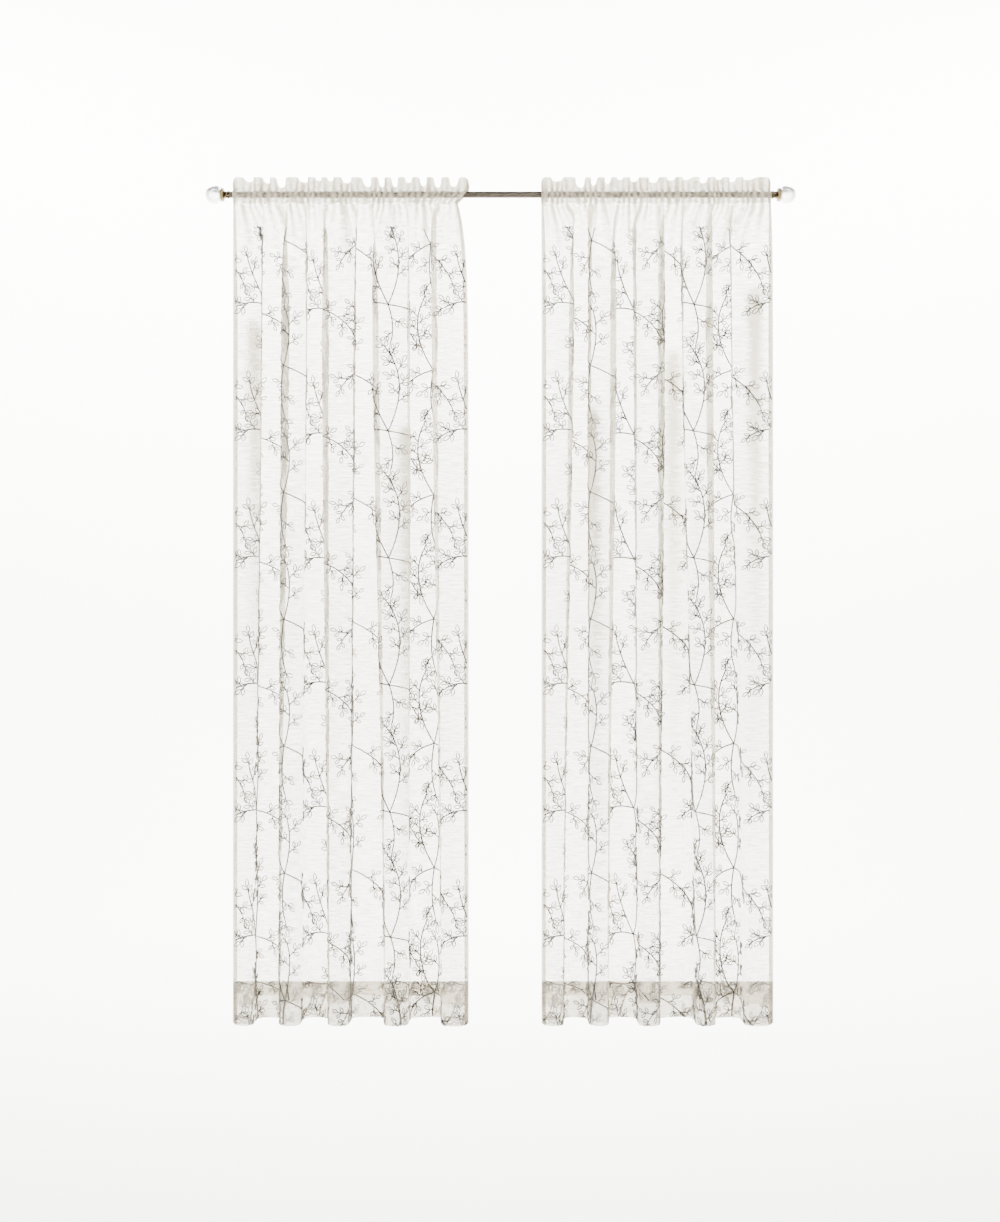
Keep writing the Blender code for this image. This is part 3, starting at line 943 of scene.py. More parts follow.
def evenly_along(points):
    """The line through these points at even steps of its own length, and that length."""
    steps = np.linalg.norm(np.diff(points, axis=0), axis=1)
    along = np.concatenate([[0.0], np.cumsum(steps)])
    at = np.linspace(0.0, along[-1], PATH_SAMPLES)
    return np.stack([np.interp(at, along, points[:, k]) for k in range(2)], axis=1), along[-1]


def rounded(points, length, rounding):
    """Rounds the corners of an evenly sampled line by averaging over the rounding length."""
    reach = max(int(rounding / length * len(points) / 2), 1)
    kernel = np.hanning(2 * reach + 3)[1:-1]
    kernel /= kernel.sum()
    before = 2 * points[0] - points[reach:0:-1]
    after = 2 * points[-1] - points[-2 : -reach - 2 : -1]
    padded = np.concatenate([before, points, after])
    return np.stack([np.convolve(padded[:, k], kernel, "valid") for k in range(2)], axis=1)


def towards_front(line):
    """Unit vectors square to a line in plan, pointing to the front of the cloth."""
    along = np.gradient(line, axis=0)
    along /= np.linalg.norm(along, axis=1)[:, None]
    return np.stack([along[:, 1], -along[:, 0]], axis=1)


def ruching(share, start):
    """How far the fine ruching stands out at these shares, from 0 to 1, as unevenly as hand sewn."""
    def wave_of(wave):
        return wave.size * np.sin(2 * np.pi * (wave.waves * share + wave.shift * start))

    wander = sum(wave_of(wave) for wave in RIDGE_WANDERS)
    ridge = (1 + np.cos(2 * np.pi * (RUCHES * share + start) + wander)) / 2
    return ridge**RIDGE_SHARPNESS * (USUAL_RIDGE + wave_of(RIDGE_HEIGHTS))


def creasing(panel, drop, share):
    """How far the panel's own creases stand out towards the front at one height."""
    relief = np.zeros_like(share)
    for crease in panel.creases:
        down = (drop - crease.top) / (crease.foot - crease.top)
        if not 0 < down < 1:
            continue
        rise = min((drop - crease.top) / CREASE_RISE, 1.0)
        strength = rise * rise * (3 - 2 * rise) * (1 - down) ** CREASE_FADE_POWER
        offset = (share - crease.share - crease.drift * down) / crease.width
        relief += crease.height * strength * np.exp(-offset * offset)
    return relief


def body_line(panel, drop, columns):
    """The cloth at one height below the lower seam, one (x, y) a column."""
    rounding = FOLD_ROUNDING + (ROUNDING_AT_HEM - FOLD_ROUNDING) * (drop / BODY_DROP) ** 2
    line, length = evenly_along(fold_corners(panel, drop))
    line, length = evenly_along(rounded(line, length, rounding))
    front = towards_front(line)
    at = columns.share * (PATH_SAMPLES - 1)
    samples = np.arange(PATH_SAMPLES)
    x, y, front_x, front_y = (
        np.interp(at, samples, values) for values in (*line.T, *front.T)
    )
    swing = -SEAM_SWING * math.exp(-drop / GATHER_FADE) * columns.wave
    ruches = ruching(columns.share, panel.ruche_start) - 0.5
    swing += RUCHE_AT_SEAM * math.exp(-drop / RUCHE_FADE) * ruches
    swing += creasing(panel, drop, columns.share)
    return np.stack([x + swing * front_x, y + swing * front_y], axis=1), length


def body_drops():
    """How far below the lower seam each row of the body lies, from the hem up."""
    top = [0.0]
    while top[-1] < LOWEST_TOP_ROW:
        top.append(top[-1] + TOP_STEP + (BODY_STEP - TOP_STEP) * top[-1] / LOWEST_TOP_ROW)
    hem_top = BODY_DROP - HEM_HEIGHT
    middle = np.linspace(top[-1], hem_top, round((hem_top - top[-1]) / BODY_STEP))
    hem = np.linspace(hem_top, BODY_DROP, round(HEM_HEIGHT / HEM_STEP))
    return np.concatenate([top[:-1], middle[:-1], hem])[::-1]


def smooth_rows(rows, steps):
    """More rows between these, on smooth curves through them."""
    rows = np.array(rows)
    padded = np.concatenate([[2 * rows[0] - rows[1]], rows, [2 * rows[-1] - rows[-2]]])
    made = []
    for a, b, c, d in zip(padded, padded[1:], padded[2:], padded[3:]):
        for t in np.arange(steps) / steps:
            made.append(
                b
                + 0.5 * t * (c - a)
                + t**2 * (a - 2.5 * b + 2 * c - 0.5 * d)
                + t**3 * (1.5 * b - 0.5 * a - 1.5 * c + 0.5 * d)
            )
    return np.array(made + [rows[-1]])


def end_loop(panel, columns):
    """How far the last loop reaches past the end of the pocket's lower seam."""
    return (panel.hem_right - panel.rod_right) * columns.share**END_LOOP_POWER


def pocket_rows(panel, columns, seam, facing, ruche_height):
    """Rows up the front or back of the pocket, from the lower seam to the upper."""
    bulge = POCKET_BULGE * (1 + facing * columns.wave) / 2
    shift = BACK_RUCHE_SHIFT if facing > 0 else 0.0
    ruches = ruche_height * ruching(columns.share, panel.ruche_start + shift)
    gap = facing * POCKET_GAP / 2
    x = seam[:, 0]
    rows = [np.column_stack([x, seam[:, 1] + gap, np.full_like(x, LOWER_SEAM_Z)])]
    for row in POCKET_ROWS:
        up = (row.height - LOWER_SEAM_Z) / (UPPER_SEAM_Z - LOWER_SEAM_Z)
        row_x = x + up * end_loop(panel, columns)
        reach = row.reach + (bulge + ruches) * row.bulge_share
        rows.append(np.column_stack([row_x, facing * reach, np.full_like(x, row.height)]))
    top_x = x + end_loop(panel, columns)
    top_y = TOP_SEAM_SWING * columns.wave + gap
    rows.append(np.column_stack([top_x, top_y, np.full_like(x, UPPER_SEAM_Z)]))
    return smooth_rows(rows, POCKET_STEPS)


def heading_rows(panel, columns, seam, offset):
    """Rows up the standing ruffle, offset from its middle towards the front."""
    ruches = RUCHE_AT_SEAM * (ruching(columns.share, panel.ruche_start) - 0.5)
    from_end = np.minimum(columns.share, 1 - columns.share) / END_ROUNDING
    height = HEADING_HEIGHT * np.sqrt(1 - END_ELLIPSE * np.maximum(1 - from_end, 0.0) ** 2)
    rows = []
    for share in np.linspace(0.0, 1.0, HEADING_STEPS + 1):
        widening = LOOP_WIDENING * columns.width * share * np.sin(4 * np.pi * columns.phase)
        x = seam[:, 0] + widening + end_loop(panel, columns)
        y = TOP_SEAM_SWING * columns.wave + height * share * np.sin(columns.lean)
        y -= ruches * (1 - 0.5 * share)
        z = UPPER_SEAM_Z + height * share * np.cos(columns.lean)
        front = towards_front(np.stack([x, y], axis=1))
        opened = POCKET_GAP / 2 + (HEADING_GAP - POCKET_GAP) / 2 * min(4 * share, 1.0)
        rows.append(np.column_stack([np.stack([x, y], axis=1) + front * opened * offset, z]))
    return rows


def top_fold_rows(front, back):
    """Rows round the folded top of the ruffle, from its front layer to its back one."""
    middle = (front + back) / 2
    half = (front - back) / 2
    rise = np.array([0.0, 0.0, HEADING_GAP / 2])
    angles = [math.radians(angle) for angle in FOLD_ANGLES]
    return [middle + half * math.cos(a) + rise * math.sin(a) for a in angles]


def unit_normals(points):
    """Unit vectors square to the cloth, out of its right side."""
    normals = np.cross(np.gradient(points, axis=1), np.gradient(points, axis=0))
    return normals / np.linalg.norm(normals, axis=2)[..., None]


def uneven_hem(points):
    """Slides rows near the hem up on the front folds and down on the back ones, along the cloth."""
    height = points[:, :, 2] - HEM_Z
    rise = np.clip((height - HEM_TILT_START) / (HEM_HEIGHT - HEM_TILT_START), 0.0, 1.0)
    fall = np.clip((HEM_TILT_END - height) / (HEM_TILT_END - HEM_HEIGHT), 0.0, 1.0)
    tilt = rise * rise * (3 - 2 * rise) * fall * fall * (3 - 2 * fall)
    from_side = np.linspace(0.0, 1.0, points.shape[1])
    from_side = np.minimum(from_side, from_side[::-1]) / CORNER_WIDTH
    corner = CORNER_RISE * (1 - np.sqrt(1 - np.maximum(1 - from_side, 0.0) ** 2))
    moved = points.copy()
    moved[:, :, 2] -= HEM_TILT * points[:, :, 1] * tilt
    moved[:, :, 2] += corner * np.clip(1 - height / HEM_TILT_START, 0.0, 1.0)
    return moved


def at_share(grid, share):
    """One point of every row, at a share of the cloth's width."""
    at = share * (grid.shape[1] - 1)
    k = min(int(at), grid.shape[1] - 2)
    return grid[:, k] + (at - k) * (grid[:, k + 1] - grid[:, k])


def with_side_hems(points, normals, width):
    """Adds the columns of both narrow side hems, folded behind the cloth."""
    left = []
    right = []
    for column in SIDE_HEM:
        share = column.inward / width
        for made, at in ((left, share), (right, 1 - share)):
            behind = at_share(normals, at) * (-column.layer * SIDE_LAYER)
            made.append(at_share(points, at) + behind)
    across = np.linspace(0.0, width, points.shape[1])
    from_edge = np.array([column.from_edge for column in SIDE_HEM])
    across = np.concatenate([-from_edge, across, width + from_edge[::-1]])
    side_columns = (np.stack(left, axis=1), np.stack(right[::-1], axis=1))
    return np.concatenate([side_columns[0], points, side_columns[1]], axis=1), across


def pleat_rows(panel, columns, drops, pocket_count):
    """How doubled the cloth is by its pleats and creases, by row from the hem up and over."""
    ruches = ruching(columns.share, panel.ruche_start)
    body = []
    for drop in drops[:-1]:
        creases = np.maximum(creasing(panel, drop, columns.share), 0.0) / CREASE_PLEAT
        body.append(ruches * math.exp(-drop / RUCHE_FADE) + creases)
    # Cloth drawn over the rod is thinner between its pleats
    drawn = TROUGH_PLEAT + (1 - TROUGH_PLEAT) * ruches
    heading = [ruches * fade for fade in np.linspace(1.0, PLEATS_AT_TOP, HEADING_STEPS + 1)]
    top_fold = [ruches * PLEATS_AT_TOP] * len(FOLD_ANGLES)
    back_ruches = ruching(columns.share, panel.ruche_start + BACK_RUCHE_SHIFT)
    front = [*body, *[drawn] * pocket_count, *heading]
    return np.array([*front, *top_fold, *heading[::-1], *[back_ruches] * pocket_count])


def with_bottom_hem(outer, heights):
    """Adds the rows of the bottom hem, turned up twice behind the cloth, from its raw edge.

    Gives the points, their normals and the numbers of the rows where the hem begins and ends."""
    normals = unit_normals(outer)
    hem = int(np.searchsorted(heights, HEM_HEIGHT - HAIR)) + 1
    turn = int(np.searchsorted(heights, HEM_TURN_HEIGHT))
    hem_points, hem_normals = outer[:hem], normals[:hem]
    turned = hem_points[turn:] - HEM_LAYER * hem_normals[turn:]
    raised = (hem_points - 2 * HEM_LAYER * hem_normals)[::-1]
    bottom = hem_points[:1] - HEM_LAYER * hem_normals[:1] - np.array([0.0, 0.0, HEM_LAYER / 2])
    points = np.concatenate([turned, raised, bottom, outer])
    normals = np.concatenate([hem_normals[turn:], -hem_normals[::-1], -hem_normals[:1], normals])
    first_outer = len(points) - len(outer)
    rows = {
        "hem_back_top": len(turned) + 1,
        "hem_bottom": first_outer,
        "hem_top": first_outer + hem - 1,
    }
    return points, normals, rows


@functools.cache
def cloth_of(panel, ruche_height):
    """The whole cloth of a panel: up the hem's turned edge and back down, up the front, over the
    heading's top and down the back of the pocket."""
    columns = gather_columns(panel, np.linspace(0.0, 1.0, CLOTH_COLUMNS))
    drops = body_drops()
    body = []
    lengths = []
    for drop in drops:
        line, length = body_line(panel, drop, columns)
        body.append(np.column_stack([line, np.full(len(line), LOWER_SEAM_Z - drop)]))
        lengths.append(length)
    width = max(lengths)
    seam = body[-1][:, :2]
    front_pocket = pocket_rows(panel, columns, seam, -1, ruche_height)
    back_pocket = pocket_rows(panel, columns, seam, 1, ruche_height)[::-1]
    front_heading = heading_rows(panel, columns, seam, 1)
    back_heading = heading_rows(panel, columns, seam, -1)[::-1]
    top_fold = top_fold_rows(front_heading[-1], back_heading[0])
    front = [*body[:-1], *front_pocket[:-1], *front_heading]
    outer = uneven_hem(np.array([*front, *top_fold, *back_heading, *back_pocket[1:]]))
    points, normals, rows = with_bottom_hem(outer, BODY_DROP - drops)

    pleats = pleat_rows(panel, columns, drops, len(front_pocket) - 1)
    hem_rows = len(points) - len(outer)
    side_columns = len(SIDE_HEM)
    pleats = np.pad(pleats, ((hem_rows, 0), (side_columns, side_columns)))

    steps = np.linalg.norm(np.diff(points, axis=0), axis=2).mean(axis=1)
    along = np.concatenate([[0.0], np.cumsum(steps)])
    rows["lower_seam"] = rows["hem_bottom"] + len(body) - 1
    rows["upper_seam"] = rows["lower_seam"] + len(front_pocket) - 1
    rows["back_upper_seam"] = len(points) - len(back_pocket)
    rows["back_lower_seam"] = len(points) - 1
    marks = {name: along[row] for name, row in rows.items()}
    points, across = with_side_hems(points, normals, width)
    return Cloth(points, normals, pleats, across, along, marks, width, along[-1])


def cloth_mesh(name, cloth):
    """A mesh of quads over the cloth's points, with its flat size as its UV map."""
    rows, columns = cloth.points.shape[:2]
    corner = np.arange((rows - 1) * columns).reshape(rows - 1, columns)[:, :-1].ravel()
    faces = np.stack([corner, corner + 1, corner + columns + 1, corner + columns], axis=1)
    mesh = bpy.data.meshes.new(name)
    mesh.from_pydata(cloth.points.reshape(-1, 3).tolist(), [], faces.tolist())
    flat = np.stack(np.meshgrid(cloth.across, cloth.along), axis=2).reshape(-1, 2)
    uv_map = mesh.uv_layers.new(name=CLOTH_UV)
    uv_map.uv.foreach_set("vector", flat[faces.ravel()].astype(np.float32).ravel())
    pleats = mesh.attributes.new("pleats", "FLOAT", "POINT")
    pleats.data.foreach_set("value", cloth.pleats.astype(np.float32).ravel())
    mesh.validate()
    return mesh


def curved_line(start, heading, length, bend, step):
    """Points along a line on the flat cloth that turns by bend degrees, sharper to its end."""
    count = max(round(length / step), 2)
    share = (np.arange(count) + 0.5) / count
    angles = np.radians(heading + bend * share**1.5)
    steps = np.stack([np.cos(angles), np.sin(angles)], axis=1) * length / count
    return np.concatenate([[start], start + np.cumsum(steps, axis=0)]), angles


def leaf_line(start, angle, length, width):
    """A stalk and the almond outline of a leaf, drawn in one line and back to its base."""
    forward = np.array([math.cos(angle), math.sin(angle)])
    sideways = np.array([-forward[1], forward[0]])
    base = start + forward * LEAF_STALK
    up = [base + forward * length * a + sideways * width / 2 * b for a, b in LEAF_OUTLINE]
    down = [base + forward * length * a - sideways * width / 2 * b for a, b in LEAF_OUTLINE]
    return np.array([start, base, *up, base + forward * length, *down[::-1], base])


def repeat_lines(settings):
    """Every line of one repeat of the embroidery, each with its thread's radius."""
    chance = np.random.default_rng(SPRIG_SEED)
    lines = []
    for branch in BRANCHES:
        start = np.array([branch.across, branch.along])
        stem, angles = curved_line(
            start, branch.heading, branch.length, branch.bend, STEM_STEP
        )
        lines.append((stem, STEM_RADIUS))
        side = 1 if branch.bend < 0 else -1
        for at in np.linspace(FIRST_SPRIG, 1.0, branch.sprigs):
            k = round(at * (len(angles) - 1))
            last = at == 1.0
            turn = 0.0 if last else side * math.radians(chance.uniform(*SPRIG_TURNS))
            size = chance.uniform(*SPRIG_LENGTHS)
            stalk, stalk_angles = curved_line(
                stem[k + 1],
                math.degrees(angles[k] + turn),
                size,
                side * chance.uniform(*SPRIG_BENDS),
                STALK_STEP,
            )
            lines.append((stalk, TWIG_RADIUS))
            scale = chance.uniform(*LEAF_SCALES)
            length, width = settings.leaf_length * scale, settings.leaf_width * scale
            tip = leaf_line(stalk[-1], stalk_angles[-1], length, width)
            lines.append((tip, LEAF_THREAD_RADIUS))
            length *= LOWER_LEAF_LENGTH
            width *= LOWER_LEAF_WIDTH
            for leaf_side, back in ((1, 1), (-1, 2)):
                angle = stalk_angles[-back] + leaf_side * math.radians(chance.uniform(*LEAF_TURNS))
                leaf = leaf_line(stalk[-1 - back], angle, length, width)
                lines.append((leaf, LEAF_THREAD_RADIUS))
            side = -side
    return lines


def lines_object(name, lines):
    """A mesh of loose lines on the flat cloth, each point with its thread's radius."""
    points = np.concatenate([line for line, _ in lines])
    points = np.column_stack([points, np.zeros(len(points))])
    edges = []
    first = 0
    for line, _ in lines:
        edges += [(first + k, first + k + 1) for k in range(len(line) - 1)]
        first += len(line)
    mesh = bpy.data.meshes.new(name)
    mesh.from_pydata(points.tolist(), edges, [])
    radius = np.concatenate([np.full(len(line), radius) for line, radius in lines])
    attribute = mesh.attributes.new("thread_radius", "FLOAT", "POINT")
    attribute.data.foreach_set("value", radius.astype(np.float32))
    obj = bpy.data.objects.new(name, mesh)
    bpy.context.scene.collection.objects.link(obj)
    return obj


def new_tree(name, sockets):
    """A Geometry Nodes tree with these named inputs, its input node and the geometry input."""
    tree = bpy.data.node_groups.new(name, "GeometryNodeTree")
    tree.is_modifier = True
    tree.interface.new_socket("Geometry", in_out="OUTPUT", socket_type="NodeSocketGeometry")
    tree.interface.new_socket("Geometry", in_out="INPUT", socket_type="NodeSocketGeometry")
    for socket_name, kind in sockets:
        tree.interface.new_socket(socket_name, in_out="INPUT", socket_type=kind)
    return tree, add_node(tree, "NodeGroupInput").outputs


def on_cloth(tree, inputs, geometry, lift):
    """Moves flat geometry to where the cloth is, its height raised off the cloth's right side."""
    cloth = add_node(tree, "GeometryNodeObjectInfo", {}, {"Object": inputs["Cloth"]})
    uv = add_node(
        tree,
        "GeometryNodeInputNamedAttribute",
        {"data_type": "FLOAT_VECTOR"},
        {"Name": CLOTH_UV},
    ).outputs["Attribute"]
    place = add_node(tree, "GeometryNodeInputPosition").outputs["Position"]
    normal = add_node(tree, "GeometryNodeInputNormal").outputs["Normal"]
    sampled = [
        add_node(
            tree,
            "GeometryNodeSampleUVSurface",
            {"data_type": "FLOAT_VECTOR"},
            {0: cloth.outputs["Geometry"], "Value": value, 2: uv, 3: place},
        ).outputs["Value"]
        for value in (place, normal)
    ]
    height = add_node(tree, "ShaderNodeSeparateXYZ", {}, {0: place}).outputs["Z"]
    raised = add_node(
        tree, "ShaderNodeMath", {"operation": "ADD"}, {0: height, 1: lift}
    ).outputs[0]
    offset = add_node(
        tree, "ShaderNodeVectorMath", {"operation": "SCALE"}, {0: sampled[1], "Scale": raised}
    ).outputs[0]
    moved = add_node(
        tree, "ShaderNodeVectorMath", {"operation": "ADD"}, {0: sampled[0], 1: offset}
    ).outputs[0]
    return add_node(
        tree, "GeometryNodeSetPosition", {}, {"Geometry": geometry, "Position": moved}
    ).outputs["Geometry"]


def finish_tree(tree, inputs, geometry):
    """Ends a Geometry Nodes tree: makes its copies real and gives them the material."""
    real = add_node(tree, "GeometryNodeRealizeInstances", {}, {"Geometry": geometry})
    finished = add_node(
        tree,
        "GeometryNodeSetMaterial",
        {},
        {"Geometry": real.outputs["Geometry"], "Material": inputs["Material"]},
    )
    add_node(tree, "NodeGroupOutput", {}, {"Geometry": finished.outputs["Geometry"]})
    return tree


def embroidery_tree():
    """Repeats the flat pattern over the cloth, cuts it at the edges and lays thread on it."""
    tree, inputs = new_tree(
        "embroider_cloth",
        (
            ("Cloth", "NodeSocketObject"),
            ("Repeat Across", "NodeSocketFloat"),
            ("Repeat Along", "NodeSocketFloat"),
            ("Columns", "NodeSocketInt"),
            ("Rows", "NodeSocketInt"),
            ("Lowest", "NodeSocketVector"),
            ("Highest", "NodeSocketVector"),
            ("Thickness", "NodeSocketFloat"),
            ("Material", "NodeSocketMaterial"),
        ),
    )
    sizes = []
    for repeat, count in (("Repeat Across", "Columns"), ("Repeat Along", "Rows")):
        gaps = add_node(
            tree, "ShaderNodeMath", {"operation": "SUBTRACT"}, {0: inputs[count], 1: 1.0}
        ).outputs[0]
        sizes.append(
            add_node(
                tree, "ShaderNodeMath", {"operation": "MULTIPLY"}, {0: gaps, 1: inputs[repeat]}
            ).outputs[0]
        )
    grid = add_node(
        tree,
        "GeometryNodeMeshGrid",
        {},
        {
            "Size X": sizes[0],
            "Size Y": sizes[1],
            "Vertices X": inputs["Columns"],
            "Vertices Y": inputs["Rows"],
        },
    ).outputs["Mesh"]
    corner = add_node(tree, "ShaderNodeCombineXYZ", {}, {"X": sizes[0], "Y": sizes[1]}).outputs[0]
    half = add_node(
        tree, "ShaderNodeVectorMath", {"operation": "SCALE"}, {0: corner, "Scale": 0.5}
    ).outputs[0]
    placed = add_node(
        tree, "GeometryNodeSetPosition", {}, {"Geometry": grid, "Offset": half}
    ).outputs["Geometry"]
    copies = add_node(
        tree,
        "GeometryNodeInstanceOnPoints",
        {},
        {"Points": placed, "Instance": inputs["Geometry"]},
    ).outputs["Instances"]
    real = add_node(
        tree, "GeometryNodeRealizeInstances", {}, {"Geometry": copies}
    ).outputs["Geometry"]
    place = add_node(tree, "GeometryNodeInputPosition").outputs["Position"]
    kept = add_node(
        tree, "ShaderNodeVectorMath", {"operation": "MAXIMUM"}, {0: place, 1: inputs["Lowest"]}
    ).outputs[0]
    kept = add_node(
        tree, "ShaderNodeVectorMath", {"operation": "MINIMUM"}, {0: kept, 1: inputs["Highest"]}
    ).outputs[0]
    outside = add_node(
        tree, "ShaderNodeVectorMath", {"operation": "DISTANCE"}, {0: place, 1: kept}
    ).outputs["Value"]
    beyond = add_node(
        tree, "ShaderNodeMath", {"operation": "GREATER_THAN"}, {0: outside, 1: HAIR}
    ).outputs[0]
    cut = add_node(
        tree, "GeometryNodeDeleteGeometry", {}, {"Geometry": real, "Selection": beyond}
    ).outputs["Geometry"]
    lines = add_node(tree, "GeometryNodeMeshToCurve", {}, {"Mesh": cut}).outputs["Curve"]
    laid = on_cloth(tree, inputs, lines, 0.0)
    radius = add_node(
        tree,
        "GeometryNodeInputNamedAttribute",
        {"data_type": "FLOAT"},
        {"Name": "thread_radius"},
    ).outputs["Attribute"]
    scaled = add_node(
        tree, "ShaderNodeMath", {"operation": "MULTIPLY"}, {0: radius, 1: inputs["Thickness"]}
    ).outputs[0]
    length = add_node(tree, "GeometryNodeSplineParameter").outputs["Length"]
    marked = add_node(
        tree,
        "GeometryNodeStoreNamedAttribute",
        {"data_type": "FLOAT", "domain": "POINT"},
        {"Geometry": laid, "Name": "thread_length", "Value": length},
    ).outputs["Geometry"]
    profile = add_node(
        tree, "GeometryNodeCurvePrimitiveCircle", {}, {"Resolution": THREAD_SIDES, "Radius": 1.0}
    ).outputs["Curve"]
    thread = add_node(
        tree,
        "GeometryNodeCurveToMesh",
        {},
        {"Curve": marked, "Profile Curve": profile, "Scale": scaled, "Fill Caps": True},
    ).outputs["Mesh"]
    return finish_tree(tree, inputs, thread)


def stitch_tree():
    """Lays one stitch after another along lines on the flat cloth, and moves them onto it."""
    tree, inputs = new_tree(
        "sew_along_lines",
        (
            ("Cloth", "NodeSocketObject"),
            ("Pitch", "NodeSocketFloat"),
            ("Length", "NodeSocketFloat"),
            ("Thickness", "NodeSocketFloat"),
            ("Material", "NodeSocketMaterial"),
        ),
    )
    lines = add_node(
        tree, "GeometryNodeMeshToCurve", {}, {"Mesh": inputs["Geometry"]}
    ).outputs["Curve"]
    points = add_node(
        tree,
        "GeometryNodeCurveToPoints",
        {"mode": "LENGTH"},
        {"Curve": lines, "Length": inputs["Pitch"]},
    )
    rotation = add_node(
        tree,
        "FunctionNodeAlignRotationToVector",
        {"axis": "X"},
        {"Vector": points.outputs["Tangent"]},
    ).outputs["Rotation"]
    bead = add_node(
        tree, "GeometryNodeMeshUVSphere", {}, {"Segments": 4, "Rings": 3, "Radius": 0.5}
    ).outputs["Mesh"]
    size = add_node(
        tree,
        "ShaderNodeCombineXYZ",
        {},
        {"X": inputs["Length"], "Y": inputs["Thickness"], "Z": inputs["Thickness"]},
    ).outputs[0]
    stitches = add_node(
        tree,
        "GeometryNodeInstanceOnPoints",
        {},
        {
            "Points": points.outputs["Points"],
            "Instance": bead,
            "Rotation": rotation,
            "Scale": size,
        },
    ).outputs["Instances"]
    real = add_node(
        tree, "GeometryNodeRealizeInstances", {}, {"Geometry": stitches}
    ).outputs["Geometry"]
    laid = on_cloth(tree, inputs, real, STITCH_LIFT)
    return finish_tree(tree, inputs, laid)


def run_tree(name, source, tree, values, material):
    """The result of a Geometry Nodes tree on the source object, as a new plain mesh object."""
    modifier = source.modifiers.new(tree.name, "NODES")
    modifier.node_group = tree
    for socket in tree.interface.items_tree:
        if socket.in_out == "INPUT" and socket.name in values:
            modifier[socket.identifier] = values[socket.name]
    graph = bpy.context.evaluated_depsgraph_get()
    mesh = bpy.data.meshes.new_from_object(source.evaluated_get(graph), depsgraph=graph)
    source.modifiers.remove(modifier)
    bpy.data.objects.remove(source)
    if not mesh.polygons:
        raise RuntimeError(f"{name} came out empty")
    return new_piece(name, mesh, material)


def turned_mesh(name, profile, sides, closed=True):
    """A surface turned about the X axis from (x, radius) points, starting on that axis.

    A closed one also ends there."""
    angles = np.linspace(0.0, 2 * math.pi, sides, endpoint=False)
    points = [(profile[0][0], 0.0, 0.0)]
    for x, radius in profile[1:-1] if closed else profile[1:]:
        points += [(x, radius * math.cos(a), radius * math.sin(a)) for a in angles]
    last_ring = len(points) - sides
    if closed:
        points.append((profile[-1][0], 0.0, 0.0))
    faces = []
    for k in range(sides):
        after = (k + 1) % sides
        faces.append((0, 1 + k, 1 + after))
        for low in range(1, last_ring, sides):
            high = low + sides
            faces.append((low + k, high + k, high + after, low + after))
        if closed:
            faces.append((last_ring + k, len(points) - 1, last_ring + after))
    mesh = bpy.data.meshes.new(name)
    mesh.from_pydata(points, [], faces)
    return mesh


def tube_mesh(name, profile, sides):
    """A closed ring of (x, radius) points turned about the X axis."""
    angles = np.linspace(0.0, 2 * math.pi, sides, endpoint=False)
    points = []
    for x, radius in profile:
        points += [(x, radius * math.cos(a), radius * math.sin(a)) for a in angles]
    faces = []
    for ring in range(len(profile)):
        low, high = ring * sides, (ring + 1) % len(profile) * sides
        for k in range(sides):
            after = (k + 1) % sides
            faces.append((low + k, high + k, high + after, low + after))
    mesh = bpy.data.meshes.new(name)
    mesh.from_pydata(points, [], faces)
    return mesh


def seam_lines(cloth):
    """The lines of sewing on one panel, on the flat cloth."""
    marks = cloth.marks
    inset = SIDE_HEM[2].inward - EDGE_TO_STITCHES
    lines = []
    for along in (
        marks["hem_back_top"] + EDGE_TO_STITCHES,
        marks["hem_top"] - EDGE_TO_STITCHES,
        marks["lower_seam"],
        marks["upper_seam"],
        marks["back_upper_seam"],
        marks["back_lower_seam"] - EDGE_TO_STITCHES,
    ):
        lines.append(np.array([(EDGE_TO_STITCHES, along), (cloth.width - EDGE_TO_STITCHES, along)]))
    for across in (inset, cloth.width - inset):
        lines.append(np.array([(across, marks["hem_bottom"]), (across, marks["lower_seam"])]))
    return [(line, 0.0) for line in lines]


class CURTAIN_OT_cloth(bpy.types.Operator):
    """Makes the two gathered voile panels"""

    bl_idname = "curtain.cloth"
    bl_label = "Make the cloth"

    def execute(self, context):
        settings = context.scene.curtain_cloth
        material = voile_material(settings)
        for panel in PANELS:
            cloth = cloth_of(panel, settings.ruche_height)
            name = f"cloth_{panel.side}"
            new_piece(name, cloth_mesh(name, cloth), material)
        return {"FINISHED"}


